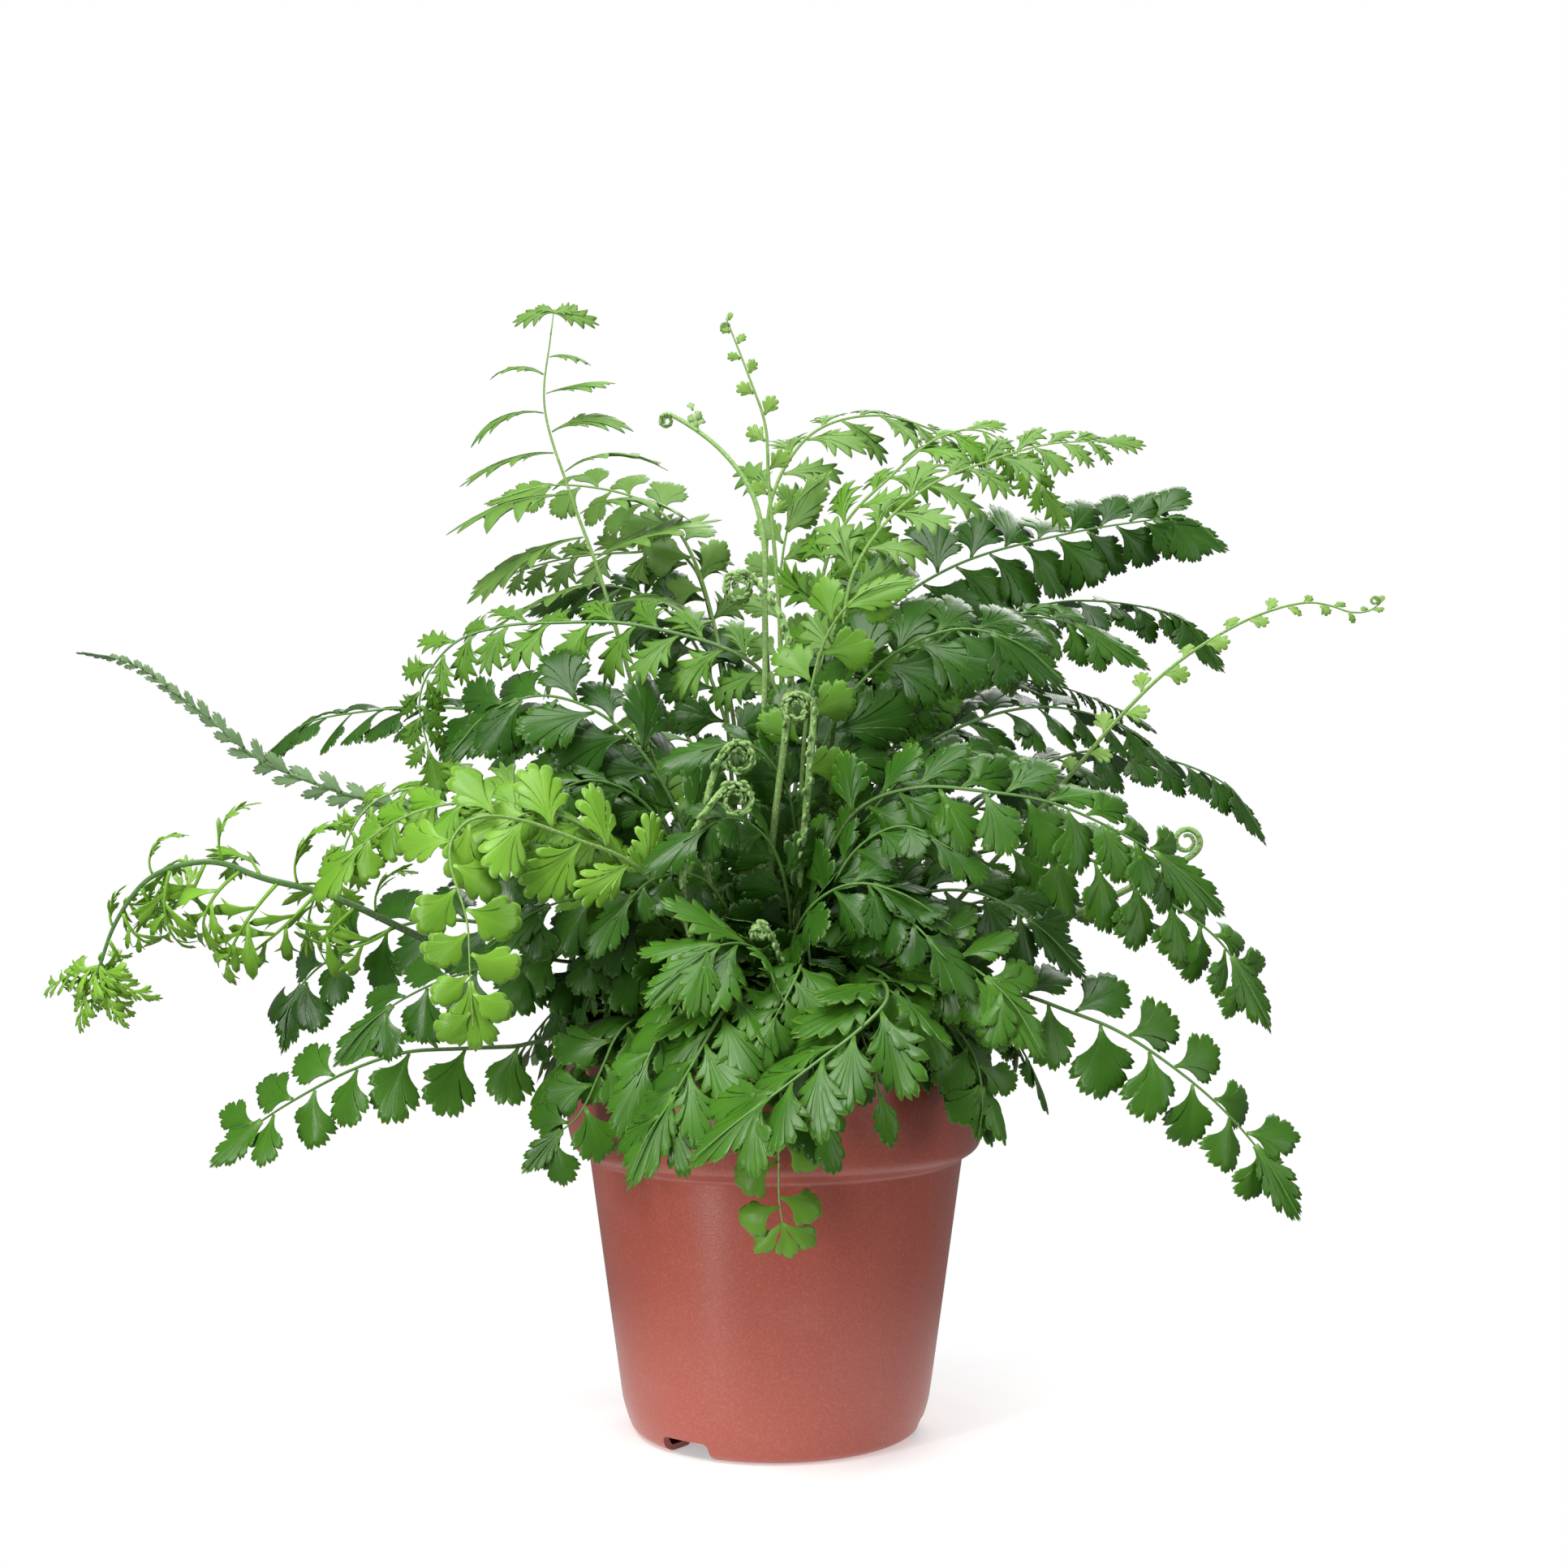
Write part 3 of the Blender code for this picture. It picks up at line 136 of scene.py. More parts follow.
    "frond_broad_left": ("broad", [(-18, -20, 150), (-32, -28, 185), (-46, -31, 201), (-63, -33, 207), (-78, -34, 202), (-88, -34, 191)], (0.0, -0.75, 0.65), 6, 26, 0.40, 10, 0),
    "frond_upper_left": ("lobed", [(-8, 12, 165), (-16, 22, 205), (-28, 28, 230), (-43, 34, 241), (-60, 40, 242), (-75, 46, 236)], (0.0, -0.6, 0.8), 6, 23, 0.46, 10, 0),
    "frond_pale_right": ("fan", [(6, -24, 165), (9, -36, 205), (15, -42, 225), (25, -45, 235), (36, -46, 237)], (0.0, -0.9, 0.4), 4, 17, 0.54, 6, 0),
    "frond_front_middle_dark": ("lobed", [(4, -34, 136), (10, -48, 151), (21, -56, 157), (34, -60, 154), (46, -62, 146)], (0.0, -0.8, 0.6), 5, 22, 0.36, 8, 0),
}

# fronds behind the crown, which arch out and over by rule: azimuth, reach and height of the top of the arch
BACK_FRONDS = [
    (14, 122, 150), (36, 92, 198), (58, 130, 166), (80, 96, 226),
    (100, 134, 156), (122, 94, 206), (144, 128, 168), (167, 108, 184),
]

# name: (points from the crown outwards, radius of the coiled head, turns, way it coils)
CROZIERS = {
    "crozier_top_left": ([(-2, -14, 170), (-3, -20, 225), (-4, -21, 256), (-8, -21, 266), (-18, -21, 278), (-29, -21, 285)], 3.2, 1.25, 1),
    "crozier_middle_tall": ([(-2, -26, 140), (-1, -32, 165), (1, -33, 183), (3, -33, 200), (4, -32, 221), (0, -31, 231), (-6, -30, 239)], 4.6, 1.15, 1),
    "crozier_middle_right": ([(6, -30, 150), (9, -40, 185), (10, -42, 203)], 4.4, 1.15, 1),
    "crozier_middle_upper": ([(-14, -34, 140), (-19, -44, 165), (-18, -47, 180), (-14, -48, 191)], 4.6, 1.2, -1),
    "crozier_middle_lower": ([(-18, -42, 130), (-24, -50, 149), (-24, -53, 163), (-20, -56, 172), (-14, -57, 181)], 4.6, 1.2, -1),
    "crozier_small_front": ([(2, -38, 124), (1, -54, 138), (-2, -57, 145)], 2.8, 1.15, 1),
    "crozier_right": ([(38, -2, 130), (64, 0, 141), (77, 0, 143), (92, 0, 149), (108, 0, 157), (119, 0, 163)], 4.4, 1.25, 1),
}

# outer width of a pinna as a share of its length
PINNA_WIDTH = {"lobed": 0.42, "broad": 0.5, "fan": 0.72, "round": 0.72, "fine": 0.46, "arch": 0.26, "narrow": 0.3, "edge": 0.5, "claw": 0.4, "young": 0.6}
STALK_WIDTH = 2.1
STALK_THICK = 1.8
PINNA_THICK = 0.5
CLEARANCE = 0.28


# ---------------------------------------------------------------- curves
def smooth_path(points, step=2.0):
    """Points every `step` along a centripetal Catmull-Rom curve through the given points."""
    pts = [Vector(p) for p in points]
    pts = [pts[0] * 2 - pts[1]] + pts + [pts[-1] * 2 - pts[-2]]
    fine = []
    for a, b, c, d in zip(pts, pts[1:], pts[2:], pts[3:]):
        t0 = 0.0
        t1 = t0 + max((b - a).length, 1e-6) ** 0.5
        t2 = t1 + max((c - b).length, 1e-6) ** 0.5
        t3 = t2 + max((d - c).length, 1e-6) ** 0.5
        for k in range(16):
            t = t1 + (t2 - t1) * k / 16
            a1 = a * ((t1 - t) / (t1 - t0)) + b * ((t - t0) / (t1 - t0))
            a2 = b * ((t2 - t) / (t2 - t1)) + c * ((t - t1) / (t2 - t1))
            a3 = c * ((t3 - t) / (t3 - t2)) + d * ((t - t2) / (t3 - t2))
            b1 = a1 * ((t2 - t) / (t2 - t0)) + a2 * ((t - t0) / (t2 - t0))
            b2 = a2 * ((t3 - t) / (t3 - t1)) + a3 * ((t - t1) / (t3 - t1))
            fine.append(b1 * ((t2 - t) / (t2 - t1)) + b2 * ((t - t1) / (t2 - t1)))
    fine.append(pts[-2].copy())
    return fine


def along(path, distances):
    """Points on a polyline at these distances from its start."""
    lengths = [0.0]
    for a, b in zip(path, path[1:]):
        lengths.append(lengths[-1] + (b - a).length)
    out, k = [], 0
    for s in distances:
        s = min(max(s, 0.0), lengths[-1])
        while k < len(path) - 2 and lengths[k + 1] < s:
            k += 1
        f = (s - lengths[k]) / max(lengths[k + 1] - lengths[k], 1e-9)
        out.append(path[k].lerp(path[k + 1], min(max(f, 0.0), 1.0)))
    return out


def path_length(path):
    return sum((b - a).length for a, b in zip(path, path[1:]))


def crown_height(r):
    """The dome of the crown above the soil, at this distance from the axis."""
    if r >= CROWN_RADIUS:
        return SOIL_TOP
    return SOIL_TOP + SOIL_GAP + CROWN_HEIGHT * math.sqrt(1 - (r / CROWN_RADIUS) ** 2)


def pot_outer(z):
    """Outer radius of the pot at a height."""
    for (r1, z1), (r0, z0) in zip(POT_OUTER, POT_OUTER[1:]):
        if z0 <= z <= z1:
            return r0 + (r1 - r0) * (z - z0) / max(z1 - z0, 1e-9)
    return 0.0


def in_pot(p, margin=1.2):
    """Whether a point is in the pot's wall, in the soil or in the crown, or within the margin of them."""
    r = math.hypot(p.x, p.y)
    if p.z > POT_HEIGHT + margin:
        return p.z < crown_height(r) + margin and r < CROWN_RADIUS
    if r > pot_outer(min(max(p.z, 0.0), POT_HEIGHT)) + margin:
        return False
    return not (r < RIM_RADIUS - 4.5 - margin and p.z > crown_height(r) + margin)


def crown_seats(directions):
    """A seat on the crown for each stalk: low stalks leave its edge, steep ones its top, and all stand apart."""
    seats = []
    for d in directions:
        steep = math.atan2(d.z, math.hypot(d.x, d.y))
        r = 3.0 + 22.0 * (1 - steep / (math.pi / 2)) ** 0.8
        a = math.atan2(d.y, d.x)
        seats.append([r * math.cos(a), r * math.sin(a)])
    for _ in range(400):
        moved = False
        for i in range(len(seats)):
            for j in range(i + 1, len(seats)):
                dx, dy = seats[j][0] - seats[i][0], seats[j][1] - seats[i][1]
                gap = math.hypot(dx, dy)
                if gap < 5.6:
                    if gap < 1e-6:
                        dx, dy, gap = 1.0, 0.3 * (j - i), 1.0
                    push = (5.6 - gap) / 2 / gap * 0.6
                    seats[i][0] -= dx * push
                    seats[i][1] -= dy * push
                    seats[j][0] += dx * push
                    seats[j][1] += dy * push
                    moved = True
        for s in seats:
            r = math.hypot(*s)
            if r > 26.0:
                s[0] *= 26.0 / r
                s[1] *= 26.0 / r
        if not moved:
            break
    out = []
    for x, y in seats:
        z = crown_height(math.hypot(x, y))
        up = Vector((x / CROWN_RADIUS**2, y / CROWN_RADIUS**2, (z - SOIL_TOP - SOIL_GAP) / CROWN_HEIGHT**2)).normalized()
        out.append(Vector((x, y, z)) + up * 1.5)
    return out


def back_frond(azimuth, reach, top):
    a = math.radians(azimuth)
    out = Vector((math.cos(a), math.sin(a), 0.0))
    turn = Vector((-out.y, out.x, 0.0)) * (6.0 if azimuth % 4 else -6.0)
    steps = [(0.16, 0.5, 0.2), (0.38, 0.84, 0.7), (0.6, 1.0, 1.0), (0.8, 0.95, 0.8), (1.0, 0.74, 0.1)]
    return [out * (reach * f) + Vector((0, 0, 108 + (top - 108) * h)) + turn * s for f, h, s in steps]


def plan():
    """Every stalk before it is moved clear of the others: name, kind, stations, and what its blade needs."""
    rows = []
    for name, (kind, points, face, pairs, longest, bare, droop, roll) in FRONDS.items():
        rows.append(dict(name=name, kind=kind, points=points, face=Vector(face).normalized(), pairs=pairs, longest=longest, bare=bare, droop=droop, roll=roll))
    for k, (azimuth, reach, top) in enumerate(BACK_FRONDS):
        a = math.radians(azimuth)
        face = Vector((0.25 * math.cos(a), 0.25 * math.sin(a), 1.0)).normalized()
        rows.append(dict(name=f"frond_back_{k + 1}", kind=("lobed", "fan")[k % 2], points=[tuple(p) for p in back_frond(azimuth, reach, top)], face=face, pairs=8, longest=26, bare=0.36, droop=12, roll=0))
    for name, (points, head, turns, way) in CROZIERS.items():
        rows.append(dict(name=name, kind="crozier", points=points, head=head, turns=turns, way=way))
    seats = crown_seats([Vector(r["points"][0]) - Vector((0, 0, 100)) for r in rows])
    for row, seat in zip(rows, seats):
        path = smooth_path([seat] + row["points"])
        whole = path_length(path)
        row["stations"] = along(path, station_distances(row, whole))
    return rows


def station_distances(row, whole):
    if row["kind"] == "crozier":
        n = max(6, round(whole / 15))
        return [whole * k / n for k in range(n + 1)]
    bare = whole * row["bare"]
    n_bare = max(4, round(bare / 19))
    out = [bare * k / n_bare for k in range(n_bare)]
    n = 2 * row["pairs"] + 1
    for k in range(n + 1):
        t = k / n
        out.append(bare + (whole - bare) * t * (1.22 - 0.22 * t))
    return out


def part_stalks(rows, rounds=120):
    """Moves stations until no two stalks are closer than their width and a gap."""
    near = math.hypot(STALK_WIDTH, STALK_THICK) + 0.6
    for step in range(rounds):
        samples = []
        for i, row in enumerate(rows):
            st = row["stations"]
            for k, (a, b) in enumerate(zip(st, st[1:])):
                n = max(1, round((b - a).length / 2.4))
                for m in range(n):
                    samples.append((i, k, m / n, a.lerp(b, m / n)))
            samples.append((i, len(st) - 2, 1.0, st[-1]))
        tree = KDTree(len(samples))
        for s, (_, _, _, p) in enumerate(samples):
            tree.insert(p, s)
        tree.balance()
        moves = [[Vector() for _ in row["stations"]] for row in rows]
        weights = [[1e-9 for _ in row["stations"]] for row in rows]
        clashes = 0
        for s, (i, k, f, p) in enumerate(samples):
            for q, t, gap in tree.find_range(p, near):
                j = samples[t][0]
                if j == i:
                    continue
                clashes += 1
                away = p - q
                if gap < 1e-4:
                    away = Vector((0.3, 1.0 if i < j else -1.0, 0.2))
                push = away.normalized() * ((near - gap) * 0.6 + 0.05)
                for kk, w in ((k, 1 - f), (k + 1, f)):
                    moves[i][kk] += push * w
                    weights[i][kk] += w
        if not clashes:
            break
        for i, row in enumerate(rows):
            st = row["stations"]
            shift = [m / max(w, 1.0) for m, w in zip(moves[i], weights[i])]
            shift[0] = Vector()
            for k in range(1, len(st)):
                before = shift[k - 1]
                after = shift[k + 1] if k + 1 < len(st) else shift[k]
                st[k] = st[k] + shift[k] + (before + after) * 0.1
    return step


def frames(stations, face):
    """Tangent, upper normal and left side at each station."""
    out = []
    last = len(stations) - 1
    for k in range(last + 1):
        t = (stations[min(k + 1, last)] - stations[max(k - 1, 0)]).normalized()
        n = face - t * face.dot(t)
        if n.length < 0.15:
            n = out[-1][1] - t * out[-1][1].dot(t) if out else t.orthogonal()
        n.normalize()
        if out:
            n = (n * 0.6 + out[-1][1] * 0.4)
            n = (n - t * n.dot(t)).normalized()
        out.append((t, n, n.cross(t)))
    return out


def prism(corners, normal, half_in, half_out, grow):
    """A thick plate around four corners, the first two at the base."""
    centre = sum(corners, Vector()) / 4
    verts = []
    for side in (1, -1):
        for k, c in enumerate(corners):
            out = (c - centre).normalized() * grow
            verts.append(c + out + normal * side * ((half_in if k < 2 else half_out) + grow))
    polys = [(0, 1, 2, 3), (7, 6, 5, 4), (0, 4, 5, 1), (1, 5, 6, 2), (2, 6, 7, 3), (3, 7, 4, 0)]
    return verts, polys


class Room:
    """What is taken already, as small trees of plates with their boxes. Some count only for the frond they belong to, the rest only for its neighbours."""

    def __init__(self):
        self.items = []

    def add(self, owner, verts, polys, own=False):
        lo = [min(v[i] for v in verts) for i in range(3)]
        hi = [max(v[i] for v in verts) for i in range(3)]
        self.items.append((owner, own, lo, hi, BVHTree.FromPolygons(verts, polys)))

    def free(self, owner, verts, polys):
        lo = [min(v[i] for v in verts) for i in range(3)]
        hi = [max(v[i] for v in verts) for i in range(3)]
        tree = None
        for other, own, olo, ohi, otree in self.items:
            if (other == owner) != own:
                continue
            if lo[0] > ohi[0] or lo[1] > ohi[1] or lo[2] > ohi[2] or hi[0] < olo[0] or hi[1] < olo[1] or hi[2] < olo[2]:
                continue
            tree = tree or BVHTree.FromPolygons(verts, polys)
            if tree.overlap(otree):
                return False
        return True


def stalk_size(t):
    """Width and thickness along a stalk, from its seat (0) to its tip (1)."""
    f = 1.0 - 0.52 * t
    return STALK_WIDTH * f, STALK_THICK * f


def pinna_profile(t):
    """Length of a pinna as a share of the longest, from the blade's base (0) to its tip (1)."""
    return min(1.0, 0.8 + 0.9 * t) * (1.0 - 0.66 * max(0.0, (t - 0.3) / 0.7) ** 1.25)


def grow_blades(rows):
    """Places every pinna: each takes its full size and natural lie if there is room, or tilts, shrinks or is left out."""
    room = Room()
    for row in rows:
        st = row["stations"]
        if row["kind"] == "crozier":
            fr = frames(st, Vector((0, -1, 0)))
            tube, faces = [], []
            for k, (p, (t, n, b)) in enumerate(zip(st, fr)):
                h = 1.25 + CLEARANCE
                tube += [p + n * h + b * h, p + n * h - b * h, p - n * h - b * h, p - n * h + b * h]
            for k in range(len(st) - 1):
                for m in range(4):
                    a, c = 4 * k + m, 4 * k + (m + 1) % 4
                    faces.append((a, c, c + 4, a + 4))
            room.add(row["name"], tube, faces)
            centre = st[-1] + Vector((-0.2 * row["way"], 0, 0.6)) * row["head"]
            r, h = row["head"] * 1.35 + 1.3, 1.8
            ring = [centre + Vector((r * math.cos(a), y, r * math.sin(a))) for y in (-h, h) for a in (math.tau * m / 8 for m in range(8))]
            faces = [(m, (m + 1) % 8, 8 + (m + 1) % 8, 8 + m) for m in range(8)] + [tuple(range(8)), tuple(range(15, 7, -1))]
            room.add(row["name"], ring, faces)
            continue
        row["frames"] = fr = frames(st, row["face"])
        last = len(st) - 1
        tube, faces = [], []
        for k, (p, (t, n, b)) in enumerate(zip(st, fr)):
            w, h = stalk_size(k / last)
            w, h = w / 2 + CLEARANCE, h / 2 + CLEARANCE
            tube += [p + b * w + n * h, p - b * w + n * h, p - b * w - n * h, p + b * w - n * h]
        for k in range(last):
            for m in range(4):
                a, c = 4 * k + m, 4 * k + (m + 1) % 4
                faces.append((a, c, c + 4, a + 4))
        room.add(row["name"], tube, faces)
    for row in rows:
        if row["kind"] == "crozier":
            continue
        t, n, b = row["frames"][-1]
        tip = row["stations"][-1]
        for scale in (1.0, 0.75, 0.55, 0.35, 0.2):
            reach = min(0.42 * row["longest"], 9.0) * scale
            row["tip"] = reach
            corners = [tip + b * reach * 0.3, tip - b * reach * 0.3, tip + t * reach - b * reach * 0.3, tip + t * reach + b * reach * 0.3]
            verts, polys = prism(corners, n, 0.45, 0.35, CLEARANCE)
            if room.free(row["name"], verts, polys):
                break
        room.add(row["name"], verts, polys)
    for row in rows:
        if row["kind"] == "crozier":
            continue
        st, fr = row["stations"], row["frames"]
        last = len(st) - 1
        first = last - 2 * row["pairs"] - 1
        row["pinnae"] = []
        for m in range(2 * row["pairs"]):
            k = first + m
            side = 1 if m % 2 == 0 else -1
            share = m / (2 * row["pairs"] - 1)
            t, n, b = fr[k]
            t = (st[k + 1] - st[k]).normalized()
            n = (n - t * n.dot(t)).normalized()
            b = n.cross(t)
            w, _ = stalk_size((k + 0.5) / last)
            base0 = st[k] + b * side * w / 2
            base1 = st[k + 1] + b * side * w / 2
            middle = (base0 + base1) / 2
            gap = (st[min(k + 2, last)] - st[k]).length
            length = row["longest"] * pinna_profile(share) * (1.0, 0.93, 1.04, 0.97)[m % 4]
            angle = math.radians((84 if row["kind"] == "arch" else 66) - 20 * share)
            found = None
            for scale in (1.0, 0.86, 0.72, 0.58, 0.45, 0.33):
                for tilt in (0, 10, -10, 20, -20, 32, -32):
                    d = math.radians(row["droop"] + tilt)
                    way = t * math.cos(angle) + b * side * math.sin(angle)
                    way = (way * math.cos(d) - n * math.sin(d)).normalized()
                    up = way.cross(t).normalized() * -side
                    up.rotate(Matrix.Rotation(math.radians(row["roll"]) * side, 3, way))
                    across = up.cross(way)
                    if across.dot(t) < 0:
                        across = -across
                    long = length * scale
                    wide = min(PINNA_WIDTH[row["kind"]] * long, 0.92 * gap)
                    wide = max(wide, 1.2)
                    tip = middle + way * long
                    out1, out0 = tip + across * wide / 2, tip - across * wide / 2
                    corners = [base0, base1, out1, out0]
                    if any(in_pot(c.lerp(corners[(i + 1) % 4], f)) for i, c in enumerate(corners) for f in (0.0, 0.5)):
                        continue
                    verts, polys = prism(corners, up, 0.85, PINNA_THICK / 2, CLEARANCE)
                    if not room.free(row["name"], verts, polys):
                        continue
                    found = dict(k=k, side=side, base0=base0, base1=base1, out0=out0, out1=out1, way=way, up=up, across=across, long=long, wide=wide, scale=scale, share=share, tilt=tilt)
                    break
                if found:
                    break
            row["pinnae"].append(found)
            if found:
                outer = [found["out1"], found["out0"]]
                room.add(row["name"], *prism([found["base0"], found["base1"]] + outer, found["up"], 0.85, PINNA_THICK / 2, CLEARANCE))
                inner = [found["base0"].lerp(outer[1], 0.22), found["base1"].lerp(outer[0], 0.22)]
                room.add(row["name"], *prism(inner + outer, found["up"], 0.6, PINNA_THICK / 2, CLEARANCE), own=True)
    return rows


def make_fern():
    rows = plan()
    print("rounds to part the stalks", part_stalks(rows))
    return grow_blades(rows)


def coil(centre_start, way_in, head, turns, sign):
    """Points of a flat coil that carries a stalk on, in the plane of X and Z, tightening as it goes."""
    out = []
    a0 = math.atan2(way_in.z, way_in.x) - sign * math.pi / 2
    centre = centre_start - Vector((math.cos(a0), 0, math.sin(a0))) * head
    n = max(6, round(turns * 8))
    for k in range(1, n + 1):
        f = k / n
        r = head * (1 - 0.62 * f)
        a = a0 + sign * turns * math.tau * f
        drift = Vector((0, 0, 0))
        out.append(centre + Vector((r * math.cos(a), 0, r * math.sin(a))) + drift)
    return out


# ---------------------------------------------------------------- mesh buffers
class Buffer:
    """Vertices, faces and per-vertex numbers of one piece, gathered before the mesh is made."""

    def __init__(self):
        self.verts, self.faces, self.slots, self.data = [], [], [], []
        self.count = 0

    def add(self, verts, faces, slot, data):
        """data: along the blade 0-1, across in teeth, tint, underside 0/1 for each vertex."""
        self.verts.append(np.asarray(verts, float))
        self.data.append(np.asarray(data, float))
        base = self.count
        for f in faces:
            self.faces.append([i + base for i in f])
            self.slots.append(slot)
        self.count += len(verts)

    def mesh(self, name, materials):
        mesh = bpy.data.meshes.new(name)
        verts = np.concatenate(self.verts) * MM
        mesh.from_pydata(verts.tolist(), [], self.faces)
        for mat in materials:
            mesh.materials.append(mat)
        mesh.polygons.foreach_set("material_index", self.slots)
        mesh.polygons.foreach_set("use_smooth", [True] * len(self.faces))
        data = np.concatenate(self.data)
        for k, label in enumerate(("along", "teeth", "tint", "under")):
            attribute = mesh.attributes.new(label, "FLOAT", "POINT")
            attribute.data.foreach_set("value", np.ascontiguousarray(data[:, k], np.float32))
        mesh.update()
        obj = bpy.data.objects.new(name, mesh)
        bpy.context.scene.collection.objects.link(obj)
        return obj


def arr(v):
    return np.array((v.x, v.y, v.z))


def unit(v):
    return v / max(np.linalg.norm(v), 1e-9)


def tube(buf, points, radii, slot, tint, sides=8, along=(0.0, 1.0), flat=1.0, up=None):
    """A round or flattened tube with closed ends."""
    n = len(points)
    ts = [unit(points[min(k + 1, n - 1)] - points[max(k - 1, 0)]) for k in range(n)]
    side = np.cross(ts[0], up if up is not None else (0.3, 0.2, 1.0))
    side = unit(side if np.linalg.norm(side) > 1e-3 else np.cross(ts[0], (1.0, 0, 0)))
    verts, data, faces = [], [], []
    for k in range(n):
        side = unit(side - ts[k] * np.dot(side, ts[k]))
        normal = np.cross(side, ts[k])
        s = along[0] + (along[1] - along[0]) * k / (n - 1)
        for m in range(sides):
            a = math.tau * m / sides
            verts.append(points[k] + side * (radii[k] * math.cos(a)) + normal * (radii[k] * flat * math.sin(a)))
            data.append((s, m, tint, 0.0))
    for k in range(n - 1):
        for m in range(sides):
            a, b = k * sides + m, k * sides + (m + 1) % sides
            faces.append((b, a, a + sides, b + sides))
    faces.append(tuple(range(sides)))
    faces.append(tuple(range(n * sides - 1, (n - 1) * sides - 1, -1)))
    buf.add(verts, faces, slot, data)


# a lobe's columns: where each lies across the lobe, its share of the cut, and how far its tooth stands out
TEETH = ((0.0, 1.0, 0.0), (0.08, 0.48, 0.0), (0.21, 0.08, 0.03), (0.34, 0.0, -0.065), (0.50, 0.0, 0.055), (0.66, 0.0, -0.065), (0.79, 0.08, 0.03), (0.92, 0.48, 0.0))
SCALLOP = ((0.0, 1.0, 0.0), (0.10, 0.45, 0.0), (0.28, 0.08, 0.0), (0.5, 0.0, 0.02), (0.72, 0.08, 0.0), (0.90, 0.45, 0.0))
FINGER = ((0.0, 1.0, 0.0), (0.14, 0.72, 0.0), (0.34, 0.26, 0.0), (0.5, 0.0, 0.0), (0.66, 0.26, 0.0), (0.86, 0.72, 0.0))
# pointed lobes that lean towards the tip of the blade
ACUTE = ((0.0, 1.0, 0.0), (0.14, 0.62, 0.0), (0.34, 0.24, 0.0), (0.48, 0.12, -0.02), (0.62, 0.04, 0.02), (0.76, 0.0, 0.05), (0.86, 0.22, 0.0), (0.94, 0.66, 0.0))
ROWS = (0.0, 0.14, 0.32, 0.52, 0.72, 0.88, 1.0)
ROWS_SMALL = (0.0, 0.3, 0.65, 1.0)


